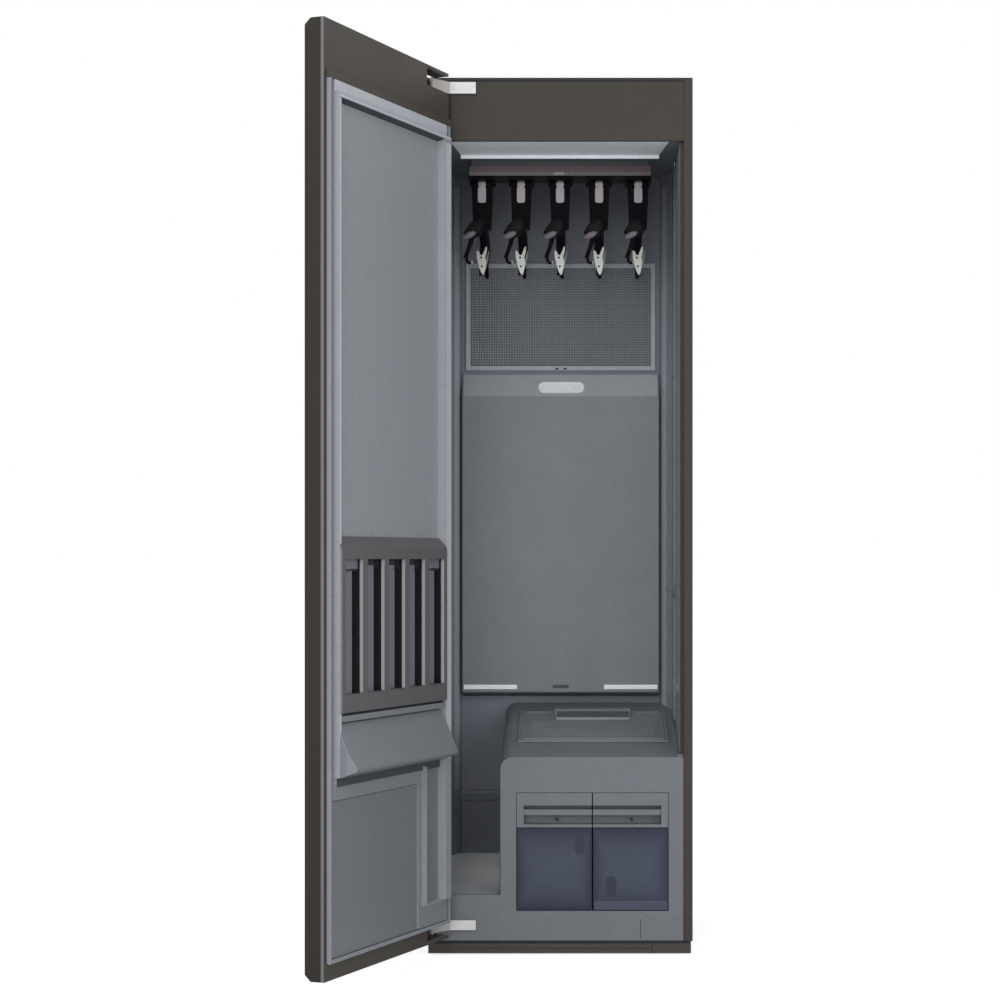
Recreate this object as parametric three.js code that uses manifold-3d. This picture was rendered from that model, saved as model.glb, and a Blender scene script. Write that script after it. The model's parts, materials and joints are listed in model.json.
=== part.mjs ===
// Clothes care steam cabinet with its door standing open. Millimetres, +Z up, +Y into the cabinet.
// Inside the cabinet group, X = 0 is the cabinet's middle, Y = 0 its front plane and Z = 0 the floor.
// Door pieces are drawn as if the door were shut, then the whole door turns on its hinge pins.
import * as THREE from 'three';
import { mergeVertices } from 'three/addons/utils/BufferGeometryUtils.js';
import Module from 'manifold-3d';

const wasm = await Module();
wasm.setup();

// Clearances
const seat = 0.3;
const running = 0.5;
const pinPlay = 0.1;
const overrun = 3;

// Cabinet body
const cabinetWidth = 595;
const cabinetHeight = 1960;
const cabinetDepth = 579;
const bodyBottom = 31;
const sheet = 1;
const stileWidth = 19.5;
const stileReturn = 12;
const rearFlange = 15.5;
const headerHeight = 140;
const headerWall = 2;

// Plastic liner
const linerWall = 2;
const linerSideGap = 28.5;
const linerRearGap = 74;
const linerBottom = 62;
const cornerWidth = 26;
const cornerDepth = 75;
const grooveDepth = 4;
const grooveStart = 236;
const grooveEnd = 330;
const grooveRamp = 6;

// Ceiling hood and its light
const hoodFrontInset = 24;
const hoodRearInset = 41;
const hoodRailGap = 35;
const hoodDrop = 5.2;
const hoodRoot = 0.5;
const ceilingLightHeight = 7.7;
const ceilingLightDepth = 8;

// Back wall grille and cover
const grilleInset = 22;
const grilleDrop = 222;
const grilleHeight = 240;
const grilleFrame = 11;
const grilleDepth = 6;
const grilleSlots = 14;
const grilleBar = 7;
const grilleRib = 8;
const coverInset = 3;
const coverBottom = 560;
const coverGap = 19;
const coverDepth = 25;
const coverSlopeHeight = 59;
const coverWall = 3;
const coverLip = 10;
const stripLength = 130;
const stripHeight = 11;
const stripDepth = 4;
const stripInset = 4;
const stripRise = 7;

// Hanger rail
const railInset = 59;
const railTopInset = 22;
const railForward = 9.15;
const railDepth = 110;
const railHeight = 46;
const railBandHeight = 23.5;
const slotHeadHalf = 19.5;
const slotHeadHeight = 9.5;
const slotThroatHalf = 12.5;
const slotLedge = 9.5;
const plenumInset = 40;
const plenumHeight = 14;
const airHoleHalf = 28;

// Hangers
const hangerCount = 5;
const hangerEndGap = 28;
const hangerTurn = 4.6;
const collarHalf = 30;
const collarHeight = 9;
const neckHalf = 24.5;
const neckDepth = 56;
const neckHeight = 106;
const neckWaist = 4;
const armEndGap = 35.85;
const armDrop = 60;
const armRoot = 28;
const armHalfWidth = 23;
const armHalfHeight = 13;
const armNeckShare = 0.5;
const armSwellShare = 0.87;
const armTipShare = 0.45;
const armTaperShare = 0.2;
const armRearShare = 0.5;
const armRearTurnShare = 0.12;
const armBow = 1.4;
const armSections = 12;
const armSides = 10;
const stemHalf = 5;
const stemDepth = 12;
const hookHeight = 52;
const hookLean = 16;
const hookHalf = 6;
const hookPlaceShare = 0.93;
const hookTopShare = 0.9;
const hookTaperShare = 0.35;
const hookCurl = 1.5;
const hookSections = 5;
const clipTopHalf = 16;
const clipTipHalf = 3.5;
const clipHeight = 82;
const clipWall = 2;
const clipWaistShare = 0.75;
const clipForkDepth = 26;
const clipForkHalf = 6;
const clipEar = 2;
const clipEarHalf = 4.5;
const clipEarReach = 7;
const clipPivotShare = 0.6;
const jawDepth = 14;
const jawHalf = 7;

// Machine compartment
const machineLeft = 133;
const machineHeight = 442;
const machineCorner = 27;
const machineFrontY = 2;
const machineWall = 2.5;
const frontBevelDepth = 88;
const frontBevelRise = 23.5;
const machineTopRise = 68;
const sillHeight = 134;
const tubRearRise = 31;
const tubFlatDepth = 65;
const tubLip = 34;
const tubGrilleHeight = 124;
const tubGrilleSlots = 7;
const tubGrilleBar = 8;
const tubGrilleBorder = 9;

// Water tanks
const tankBayInset = 36.4;
const tankBaySideGap = 54.1;
const tankBayBottom = 98;
const tankBayHeight = 264;
const tankDepth = 150;
const tankWall = 2.5;
const tankGap = 2;
const capHeight = 77;
const gripHeight = 42;
const gripDepth = 32;
const gripSide = 16;
const gripBottom = 7;
const gripBarHeight = 13;
const gripBarDepth = 10;
const gripBarRise = 20;
const gripBarInset = 3;

// Lint filter in the sloping top of the machine compartment
const filterInset = 37;
const filterSideGap = 47.5;
const filterFrontY = 105;
const filterLength = 292;
const filterPlate = 4;
const filterPad = 12;
const filterPadInset = 14;
const filterHandleWidth = 180;
const filterHandleDepth = 22;
const filterHandleHeight = 16;
const filterHandleWall = 5;
const filterHandleShare = 0.86;

// Machinery
const compressorRadius = 52;
const compressorHeight = 165;
const domeShare = 0.33;
const domeRimShare = 0.75;
const compressorSideGap = 109.5;
const compressorRearGap = 105;
const coilWidth = 190;
const coilHeight = 170;
const coilDepth = 46;
const coilFins = 12;
const coilFin = 5;
const coilSpine = 14;
const coilInset = 23;
const coilY = 250;
const blowerGap = 111;
const blowerZ = 236;
const blowerRadius = 74;
const blowerGrowth = 18;
const blowerDepth = 70;
const blowerWall = 3;
const blowerSteps = 24;
const impellerRadius = 62;
const impellerDepth = 44;
const impellerDisc = 4;
const impellerHub = 14;
const impellerBlades = 12;
const impellerBlade = 3;
const impellerBladeLength = 20;
const motorRadius = 24;
const motorDepth = 18;
const shaftRadius = 4;
const shaftSides = 20;
const boilerRadius = 38;
const boilerLength = 130;
const boilerGap = 70;
const boilerY = 203;
const boilerFoot = 8;
const cradleShare = 0.8;
const cradleRiseShare = 0.4;
const pumpRadius = 17;
const pumpLength = 62;
const pumpInset = 63;
const pumpY = 205;
const boardWidth = 220;
const boardY = 50;
const boardHeight = 26;
const ductInset = 18;
const ductDepth = 50;
const ductBottom = 245;
const ductRise = 52;
const ductWall = 2;
const outletHalf = 35;
const outletBottom = 264;
const outletHeight = 30;

// Feet, plinth and mains gland
const panDepth = 15;
const footInset = 48;
const footFrontY = 42;
const footRearInset = 40;
const footRadius = 19;
const footPad = 8;
const footStem = 6;
const footSides = 20;
const plinthInset = 3.5;
const plinthY = 6;
const plinthWall = 3;
const plinthClearance = 2.5;
const plinthLedge = 24;
const glandRadius = 11;
const glandLength = 10;
const glandSideGap = 97.5;
const glandZ = 110;

// Door
const doorOpening = 111.46;
const doorThickness = 43;
const doorSkin = sheet;
const doorGap = 10;
const doorBottom = 45;
const doorSkinInset = 12.5;
const doorChamfer = 12;
const frameRail = 35.5;
const frameTopRail = 145;
const frameBottomRail = 67;
const hingeBlock = 20;
const coreDepth = 14;
const pinFromSide = 16;
const pinFromInner = 32;
const pinRadius = 3;
const pinReach = 3.5;
const pocketLength = 112;
const pocketBelow = 7;
const pocketAbove = 5;

// Hinge arms
const hingePlateInset = 44.5;
const hingePlateLength = 66;
const hingeTopHeight = 26;
const hingeBottomHeight = 22;
const hingePlateDepth = 7;
const hingeTopRise = 11;
const hingeBottomRise = 11.5;
const hingeEye = 6.2;
const hingeArmHalf = 5;

// Door liner, gasket and lower panel
const plugSideGap = 9.5;
const plugTopGap = 117;
const plugBottom = 89;
const plugHeight = 20;
const plugFlange = 8.8;
const plugHeadGap = 28;
const plugFootGap = 48;
const plugStepGap = 44;
const columnRise = 4;
const plugDraft = 2.5;
const plugFloor = 2.5;
const rimFree = 11;
const rimHinge = 31;
const rimTop = 38;
const rimBottom = 46;
const recessDraft = 5;
const plugStep = 402;
const plugStepRim = 35;
const columnGap = 10.5;
const columnRim = 19.5;
const lowerPanelFree = 13;
const lowerPanelWall = 5;
const gasketWidth = 8;
const gasketHeight = 9.1;
const gasketSide = 9.5;
const gasketBottom = 79.8;
const gasketTopGap = 4;

// Trouser rack and tray on the door
const rackFree = 31;
const rackBottom = 577;
const rackTop = 930;
const rackFront = 25.5;
const rackFace = 5.2;
const rackMid = 7;
const rackCapDrop = 21;
const rackCapBand = 24;
const rackCapLedge = 3;
const rackRail = 36;
const rackWindows = 5;
const rackStile = 14;
const rackBar = 20;
const rackSlot = 33;
const rackSlotShare = 0.93;
const trayTop = 556;
const trayBottom = 448;
const trayLedge = 9;
const trayReach = 52;
const trayNose = 18;
const trayNoseLip = 7;
const trayNoseDraft = 2;
const trayUnder = 22;
const trayCorner = 15;
const rackSlotDrop = 20;

// Values that follow from the sizes above
const halfWidth = cabinetWidth / 2;
const headerBottom = cabinetHeight - headerHeight - sheet;
const ceiling = headerBottom;
const linerFrontY = stileReturn + sheet + seat;
const shellTop = cabinetHeight - sheet - seat;
const panTop = bodyBottom + panDepth;
const panFloor = bodyBottom + linerWall;
const frontBackY = stileReturn - seat;
const machineBevelY = stileReturn + frontBevelDepth;
const railTop = ceiling - seat;
const doorInnerY = -doorGap;
const doorOuterY = doorInnerY - doorThickness;
const frameOuterY = doorOuterY + doorSkin + seat;
const hingeX = -halfWidth + pinFromSide;
const hingeY = doorInnerY - pinFromInner;
const linerHalf = halfWidth - linerSideGap;
const linerBackY = cabinetDepth - linerRearGap;
const machineRearY = linerBackY - seat;
const backHalf = linerHalf - cornerWidth;
const grilleHalf = backHalf - grilleInset;
const grilleBottom = ceiling - grilleDrop - grilleHeight;
const coverHalf = backHalf - coverInset;
const coverTop = grilleBottom - coverGap;
const hangerY = (linerFrontY + linerBackY) / 2 - railForward;
const armReach = (linerBackY - linerFrontY) / 2 - armEndGap;
const railHalf = linerHalf - railInset;
const railTopHalf = railHalf - railTopInset;
const railFrontY = hangerY - railDepth / 2;
const railBottom = ceiling - railHeight;
const plenumHalf = railHalf - plenumInset;
const hangerPitch = (2 * (railHalf - hangerEndGap)) / (hangerCount - 1);
const hoodFrontHalf = linerHalf - hoodFrontInset;
const hoodRearHalf = linerHalf - hoodRearInset;
const hoodRearY = railFrontY - hoodRailGap;
const boardDepth = hoodRearY - boardY;
const tankBayLeft = tankBayInset - machineLeft;
const tankBayWidth = halfWidth - tankBaySideGap - tankBayLeft;
const filterLeft = filterInset - machineLeft;
const filterWidth = halfWidth - filterSideGap - filterLeft;
const compressorX = halfWidth - compressorSideGap;
const compressorY = linerBackY - compressorRearGap;
const blowerX = compressorX - compressorRadius - blowerGap;
const coilX = coilInset - machineLeft;
const pumpX = pumpInset - machineLeft;
const boilerX = pumpX + pumpLength / 2 + boilerGap + boilerLength / 2;
const ductHalf = backHalf - ductInset;
const plinthHalf = halfWidth - plinthInset;
const glandX = halfWidth - glandSideGap;
const plugHalf = halfWidth - gasketSide - gasketWidth - plugSideGap;
const plugTop = cabinetHeight - plugTopGap;
const columnInner = machineLeft - columnGap;
const boreFaces = 24;
const cornerSteps = 6;

const finishes = {
  bodySteel: { color: 0x4b4743, roughness: 0.42, metalness: 0.35 },
  doorSteel: { color: 0x4a4642, roughness: 0.4, metalness: 0.35 },
  galvanised: { color: 0x9a9c9c, roughness: 0.45, metalness: 0.8 },
  darkPlastic: { color: 0x1a1819, roughness: 0.6, metalness: 0 },
  linerPlastic: { color: 0x6f7478, roughness: 0.5, metalness: 0 },
  doorPlastic: { color: 0x83868a, roughness: 0.5, metalness: 0 },
  coverPlastic: { color: 0x6c7175, roughness: 0.48, metalness: 0.1 },
  grillePlastic: { color: 0x55595e, roughness: 0.55, metalness: 0.1 },
  lightDiffuser: { color: 0xdce4e8, roughness: 0.3, metalness: 0 },
  railPlastic: { color: 0x5a4e50, roughness: 0.45, metalness: 0.1 },
  hangerPlastic: { color: 0x1e1618, roughness: 0.35, metalness: 0 },
  chrome: { color: 0xc8cdc8, roughness: 0.18, metalness: 1 },
  tankPlastic: { color: 0x484c5a, roughness: 0.12, metalness: 0 },
  machinePlastic: { color: 0x707478, roughness: 0.48, metalness: 0 },
  rackPlastic: { color: 0x555456, roughness: 0.45, metalness: 0.1 },
  gasketRubber: { color: 0x3c3c3e, roughness: 0.8, metalness: 0 },
  foam: { color: 0xd8d2bc, roughness: 0.95, metalness: 0 },
  blackEnamel: { color: 0x17181a, roughness: 0.5, metalness: 0.4 },
  aluminium: { color: 0xb4b8ba, roughness: 0.4, metalness: 0.9 },
  boardGreen: { color: 0x2c4b38, roughness: 0.6, metalness: 0 },
};

// Turns a closed geometry into a solid that can be joined and cut.
function solid(geometry) {
  const bare = geometry.clone();
  bare.deleteAttribute('normal');
  bare.deleteAttribute('uv');
  const merged = mergeVertices(bare);
  const vertProperties = new Float32Array(merged.attributes.position.array);
  const triVerts = new Uint32Array(merged.index.array);
  return new wasm.Manifold(new wasm.Mesh({ numProp: 3, vertProperties, triVerts }));
}

// Gives a solid back as a geometry.
function surface(body) {
  const mesh = body.getMesh();
  const geometry = new THREE.BufferGeometry();
  geometry.setAttribute('position', new THREE.BufferAttribute(new Float32Array(mesh.vertProperties), 3));
  geometry.setIndex(new THREE.BufferAttribute(new Uint32Array(mesh.triVerts), 1));
  geometry.computeVertexNormals();
  return geometry;
}

function cut(geometry, ...tools) {
  return surface(tools.reduce((body, tool) => body.subtract(solid(tool)), solid(geometry)));
}

function join(geometry, ...others) {
  return surface(others.reduce((body, other) => body.add(solid(other)), solid(geometry)));
}

// Box between two corners, given as [low, high] along each axis.
function block(alongX, alongY, alongZ) {
  const size = [alongX, alongY, alongZ].map(([low, high]) => high - low);
  const middle = [alongX, alongY, alongZ].map(([low, high]) => (low + high) / 2);
  return new THREE.BoxGeometry(...size).translate(...middle);
}

function outline(points) {
  return new THREE.Shape(points.map(([x, y]) => new THREE.Vector2(x, y)));
}

function extrude(shape, depth) {
  return new THREE.ExtrudeGeometry(shape, { depth, bevelEnabled: false, curveSegments: cornerSteps });
}

// Prisms of an outline: XY outlines rise along Z, XZ outlines run along Y, YZ outlines run along X.
function prismZ(shape, [low, high]) {
  return extrude(shape, high - low).translate(0, 0, low);
}

function prismY(shape, [low, high]) {
  return extrude(shape, high - low).rotateX(Math.PI / 2).translate(0, high, 0);
}

function prismX(shape, [low, high]) {
  const turn = new THREE.Matrix4().makeBasis(
    new THREE.Vector3(0, 1, 0),
    new THREE.Vector3(0, 0, 1),
    new THREE.Vector3(1, 0, 0),
  );
  return extrude(shape, high - low).applyMatrix4(turn).translate(low, 0, 0);
}

// Outline of sheet material bent along a path, with its thickness on the path's left.
function strip(path, thickness) {
  const points = path.map(([x, y]) => new THREE.Vector2(x, y));
  const sides = points.slice(1).map((point, index) => {
    const along = point.clone().sub(points[index]).normalize();
    return new THREE.Vector2(-along.y, along.x);
  });
  const offset = points.map((point, index) => {
    const before = sides[Math.max(index - 1, 0)];
    const after = sides[Math.min(index, sides.length - 1)];
    const mitre = before.clone().add(after).divideScalar(1 + before.dot(after));
    return point.clone().addScaledVector(mitre, thickness);
  });
  return new THREE.Shape([...points, ...offset.reverse()]);
}

// Closed skin through rings of points, capped at both ends. Each ring is a list of [x, y, z], and its
// first two entries in the plane named by flat are used to fill the ends.
function loft(rings, flat) {
  const count = rings[0].length;
  const positions = rings.flat(2);
  const faces = THREE.ShapeUtils.triangulateShape(rings[0].map((p) => new THREE.Vector2(...flat(p))), []);
  const ringIndex = (ring, point) => ring * count + (point % count);
  const index = [];
  for (let ring = 0; ring + 1 < rings.length; ring += 1) {
    for (let point = 0; point < count; point += 1) {
      const a = ringIndex(ring, point);
      const b = ringIndex(ring, point + 1);
      const c = ringIndex(ring + 1, point + 1);
      const d = ringIndex(ring + 1, point);
      index.push(a, b, c, a, c, d);
    }
  }
  const last = (rings.length - 1) * count;
  for (const [a, b, c] of faces) {
    index.push(c, b, a, last + a, last + b, last + c);
  }
  const geometry = new THREE.BufferGeometry();
  geometry.setAttribute('position', new THREE.Float32BufferAttribute(positions, 3));
  geometry.setIndex(index);
  if (signedVolume(geometry) < 0) {
    for (let face = 0; face < index.length; face += 3) {
      [index[face], index[face + 1]] = [index[face + 1], index[face]];
    }
    geometry.setIndex(index);
  }
  geometry.computeVertexNormals();
  return geometry;
}

function signedVolume(geometry) {
  const position = geometry.attributes.position;
  const corner = [new THREE.Vector3(), new THREE.Vector3(), new THREE.Vector3()];
  let volume = 0;
  for (let face = 0; face < geometry.index.count; face += 3) {
    corner.forEach((point, step) => point.fromBufferAttribute(position, geometry.index.getX(face + step)));
    volume += corner[0].dot(corner[1].clone().cross(corner[2])) / 6;
  }
  return volume;
}

const inPlanXY = ([x, y]) => [x, y];
const inPlanXZ = ([x, , z]) => [x, z];

function cylinder(radius, length, axis, middle, sides = boreFaces) {
  const geometry = new THREE.CylinderGeometry(radius, radius, length, sides);
  if (axis === 'x') geometry.rotateZ(Math.PI / 2);
  if (axis === 'z') geometry.rotateX(Math.PI / 2);
  return geometry.translate(...middle);
}

// Spun profile of [radius, height] pairs that starts and ends on the axis, standing on Z.
function spin(profile, sides, x, y) {
  const points = profile.map(([radius, height]) => new THREE.Vector2(radius, height));
  return new THREE.LatheGeometry(points, sides).rotateX(Math.PI / 2).translate(x, y, 0);
}

function addPiece(group, name, geometry, finish) {
  const mesh = new THREE.Mesh(geometry, new THREE.MeshStandardMaterial(finishes[finish]));
  mesh.name = name;
  group.add(mesh);
}

// Space behind the slanting rear corner of the liner on one side, which other pieces keep out of.
function cornerSpace(side) {
  const front = new THREE.Vector2(linerHalf, linerBackY - cornerDepth);
  const rear = new THREE.Vector2(backHalf, linerBackY);
  const along = rear.clone().sub(front).normalize();
  const inward = new THREE.Vector2(along.x, along.y).rotateAround(new THREE.Vector2(), Math.PI / 2);
  const start = front.clone().addScaledVector(inward, seat).addScaledVector(along, -cornerDepth);
  const end = rear.clone().addScaledVector(inward, seat).addScaledVector(along, overrun);
  const shape = outline([
    [side * start.x, start.y],
    [side * end.x, end.y],
    [side * (start.x + overrun), end.y],
  ]);
  return prismZ(shape, [0, cabinetHeight]);
}

function sidePanel(side) {
  const path = [
    [linerHalf + seat, stileReturn],
    [halfWidth - stileWidth, stileReturn],
    [halfWidth - stileWidth, 0],
    [halfWidth, 0],
    [halfWidth, cabinetDepth],
    [halfWidth - rearFlange, cabinetDepth],
  ];
  const geometry = prismZ(strip(path, sheet), [bodyBottom, shellTop]);
  return side > 0 ? geometry : mirrorX(geometry);
}

// Mirror image across X = 0, with its faces turned back to point outwards.
function mirrorX(geometry) {
  const mirrored = geometry.clone().applyMatrix4(new THREE.Matrix4().makeScale(-1, 1, 1));
  const flipped = mergeVertices(stripAttributes(mirrored));
  const index = flipped.index.array;
  for (let face = 0; face < index.length; face += 3) {
    [index[face], index[face + 1]] = [index[face + 1], index[face]];
  }
  flipped.computeVertexNormals();
  return flipped;
}

function stripAttributes(geometry) {
  geometry.deleteAttribute('normal');
  geometry.deleteAttribute('uv');
  return geometry;
}

function topPanel() {
  return block([-halfWidth, halfWidth], [0, cabinetDepth], [cabinetHeight - sheet, cabinetHeight]);
}

function backPanel() {
  const half = halfWidth - rearFlange - seat;
  const sheetMetal = block([-half, half], [cabinetDepth - sheet, cabinetDepth], [bodyBottom, shellTop]);
  return cut(sheetMetal, glandBore());
}

function basePan() {
  const half = halfWidth - sheet - seat;
  const rear = cabinetDepth - sheet - seat;
  const tray = block([-half, half], [linerFrontY, rear], [bodyBottom, panTop]);
  const inner = block(
    [-half + linerWall, half - linerWall],
    [linerFrontY + linerWall, rear - linerWall],
    [panFloor, panTop + overrun],
  );
  return cut(tray, inner);
}

function headerPanel() {
  const half = halfWidth - stileWidth - seat;
  const path = [
    [stileReturn - seat, shellTop],
    [0, shellTop],
    [0, headerBottom],
    [stileReturn - seat, headerBottom],
  ];
  return prismX(strip(path, headerWall), [-half, half]);
}

function plinth() {
  const top = bodyBottom - seat;
  const path = [
    [plinthY + plinthLedge, top],
    [plinthY, top],
    [plinthY, plinthClearance],
  ];
  return prismX(strip(path, plinthWall), [-plinthHalf, plinthHalf]);
}

function levellingFoot(x, y) {
  const profile = [
    [0, 0],
    [footRadius, 0],
    [footRadius, footPad],
    [footStem, footPad],
    [footStem, bodyBottom - seat],
    [0, bodyBottom - seat],
  ];
  return spin(profile, footSides, x, y);
}

function linerSide(side) {
  const deep = linerHalf + grooveDepth;
  const path = [
    [backHalf, linerBackY],
    [linerHalf, linerBackY - cornerDepth],
    [linerHalf, grooveEnd + grooveRamp],
    [deep, grooveEnd],
    [deep, grooveStart],
    [linerHalf, grooveStart - grooveRamp],
    [linerHalf, linerFrontY],
  ];
  const geometry = prismZ(strip(path, linerWall), [linerBottom, ceiling - seat]);
  return side > 0 ? geometry : mirrorX(geometry);
}

// Upright plate with square windows through it, each given by its spans in X and Z.
function windowPlate(alongX, alongY, alongZ, windows) {
  const through = [alongY[0] - overrun, alongY[1] + overrun];
  const tools = windows.map(([windowX, windowZ]) => block(windowX, through, windowZ));
  return cut(block(alongX, alongY, alongZ), ...tools);
}

function tubGrilleSpan() {
  const floor = sillHeight + tubRearRise;
  return {
    left: -backHalf + overrun,
    right: -machineLeft - overrun,
    bottom: floor + overrun,
    top: floor + overrun + tubGrilleHeight,
  };
}

function linerBack() {
  const half = backHalf - seat;
  const lower = tubGrilleSpan();
  const windows = [
    [[-grilleHalf, grilleHalf], [grilleBottom, grilleBottom + grilleHeight]],
    [
      [lower.left + tubGrilleBorder, lower.right - tubGrilleBorder],
      [lower.bottom + tubGrilleBorder, lower.top - tubGrilleBorder],
    ],
    [
      [blowerX - outletHalf, blowerX + outletHalf],
      [outletBottom, outletBottom + outletHeight],
    ],
  ];
  return windowPlate(
    [-half, half],
    [linerBackY, linerBackY + linerWall],
    [linerBottom, ceiling - seat],
    windows,
  );
}

function linerCeiling() {
  const half = linerHalf - seat;
  const plate = block([-half, half], [linerFrontY, linerBackY - seat], [ceiling, ceiling + linerWall]);
  const ring = (reach, y, low) => [
    [-reach, y, low],
    [reach, y, low],
    [reach, y, ceiling + linerWall / 2],
    [-reach, y, ceiling + linerWall / 2],
  ];
  const hood = loft([
    ring(hoodFrontHalf, linerFrontY, ceiling - hoodRoot),
    ring(hoodRearHalf, hoodRearY, ceiling - hoodDrop),
  ], inPlanXZ);
  const passage = airHole([ceiling - overrun, ceiling + linerWall + overrun]);
  return cut(join(plate, hood), cornerSpace(1), cornerSpace(-1), passage);
}

function ceilingLight() {
  const top = ceiling - hoodDrop - seat;
  return block(
    [-hoodRearHalf, hoodRearHalf],
    [hoodRearY - ceilingLightDepth, hoodRearY],
    [top - ceilingLightHeight, top],
  );
}

// Upright grille plate: a row of slots inside a border, crossed by one rib at half height.
function slottedPlate([left, right], alongY, [bottom, top], border, slots) {
  const pitch = (right - left - 2 * border + grilleBar) / slots;
  const middle = (bottom + top) / 2;
  const windows = [];
  for (let slot = 0; slot < slots; slot += 1) {
    const from = left + border + slot * pitch;
    const alongX = [from, from + pitch - grilleBar];
    windows.push([alongX, [bottom + border, middle - grilleRib / 2]]);
    windows.push([alongX, [middle + grilleRib / 2, top - border]]);
  }
  return windowPlate([left, right], alongY, [bottom, top], windows);
}

function backGrille() {
  return slottedPlate(
    [-grilleHalf - grilleFrame, grilleHalf + grilleFrame],
    [linerBackY - seat - grilleDepth, linerBackY - seat],
    [grilleBottom - grilleFrame, grilleBottom + grilleHeight + grilleFrame],
    grilleFrame,
    grilleSlots,
  );
}

function backCover() {
  const rear = linerBackY - seat - coverWall;
  const front = linerBackY - coverDepth;
  const path = [
    [rear, coverTop],
    [front, coverTop - coverSlopeHeight],
    [front, coverBottom],
    [rear, coverBottom - coverLip],
  ];
  return prismX(strip(path, coverWall), [-coverHalf, coverHalf]);
}

function lightStrip(side) {
  const outer = coverHalf - stripInset;
  const bottom = coverBottom + stripRise;
  const front = linerBackY - coverDepth - seat;
  const span = [side * (outer - stripLength), side * outer].sort((a, b) => a - b);
  return block(span, [front - stripDepth, front], [bottom, bottom + stripHeight]);
}

// Passage from the air duct down through the ceiling into the top of the hanger rail.
function airHole(alongZ) {
  const middle = railFrontY + railDepth / 2;
  return block([-plenumHalf, plenumHalf], [middle - airHoleHalf, middle + airHoleHalf], alongZ);
}

function hangerPlaces() {
  return Array.from({ length: hangerCount }, (_, place) => (place - (hangerCount - 1) / 2) * hangerPitch);
}

function hangerRail() {
  const bandTop = railBottom + railBandHeight;
  const ledge = railBottom + slotLedge;
  const slotTop = ledge + slotHeadHeight;
  const bottomEdge = hangerPlaces().flatMap((x) => [
    [x - slotThroatHalf, railBottom],
    [x - slotThroatHalf, ledge],
    [x - slotHeadHalf, ledge],
    [x - slotHeadHalf, slotTop],
    [x + slotHeadHalf, slotTop],
    [x + slotHeadHalf, ledge],
    [x + slotThroatHalf, ledge],
    [x + slotThroatHalf, railBottom],
  ]);
  const shape = outline([
    [-railHalf, railBottom],
    ...bottomEdge,
    [railHalf, railBottom],
    [railHalf, bandTop],
    [railTopHalf, bandTop],
    [railTopHalf, railTop],
    [-railTopHalf, railTop],
    [-railTopHalf, bandTop],
    [-railHalf, bandTop],
  ]);
  const plenum = block(
    [-plenumHalf, plenumHalf],
    [railFrontY - overrun, railFrontY + railDepth + overrun],
    [bandTop, bandTop + plenumHeight],
  );
  const rail = prismY(shape, [railFrontY, railFrontY + railDepth]);
  return cut(rail, plenum, airHole([bandTop, ceiling + overrun]));
}

// Shoulder arms as one bowed, swelling bar from the front tip to the rear tip.
function hangerArms(crest) {
  const rings = [];
  for (let section = 0; section <= armSections; section += 1) {
    const along = (2 * section) / armSections - 1;
    const reach = Math.abs(along);
    const swell = Math.sin(Math.min(reach / armSwellShare, 1) * Math.PI / 2);
    const close = section % armSections ? 1 : armTipShare;
    const tip = along > 0 ? armRearShare : 1;
    const halfX = armHalfWidth * close * THREE.MathUtils.lerp(armNeckShare, tip, swell);
    const halfZ = armHalfHeight * close * (1 - armTaperShare * reach);
    const turn = hangerTurn * (along > 0 ? armRearTurnShare : 1);
    const centreX = along * armReach * Math.tan(THREE.MathUtils.degToRad(turn));
    const centreZ = crest - armDrop * reach ** armBow;
    const ring = [];
    for (let side = 0; side < armSides; side += 1) {
      const angle = (2 * Math.PI * side) / armSides;
      ring.push([
        centreX + halfX * Math.cos(angle),
        hangerY + along * armReach,
        centreZ + halfZ * Math.sin(angle),
      ]);
    }
    rings.push(ring);
  }
  return loft(rings, inPlanXZ);
}

// Hook below one tip of the arms, leaning sideways as it comes down.
function hangerHook(end, crest) {
  const reach = end * armReach * hookPlaceShare;
  const turnShare = end > 0 ? armRearTurnShare : 1;
  const tipX = reach * Math.tan(THREE.MathUtils.degToRad(hangerTurn * turnShare));
  const tipY = hangerY + reach;
  const top = crest - armDrop * hookTopShare;
  const rings = Array.from({ length: hookSections + 1 }, (_, section) => {
    const level = section / hookSections;
    const half = hookHalf * (1 - hookTaperShare * level);
    const x = tipX + end * turnShare * hookLean * level ** hookCurl;
    const z = top - hookHeight * level;
    return [
      [x - half, tipY - half, z],
      [x + half, tipY - half, z],
      [x + half, tipY + half, z],
      [x - half, tipY + half, z],
    ];
  });
  return loft(rings, inPlanXY);
}

function clipLayout() {
  const neckBottom = railBottom - seat - collarHeight - neckHeight;
  const top = neckBottom - armRoot;
  return {
    neckBottom,
    top,
    tip: top - clipHeight,
    pivot: top - clipHeight * (1 - clipPivotShare),
    pivotY: hangerY - stemDepth / 2 - clipEarReach / 2 - seat,
    jawTop: top - clipHeight * (1 - clipPivotShare) - Math.hypot(clipEarHalf, clipEarReach) - seat,
  };
}

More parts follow.
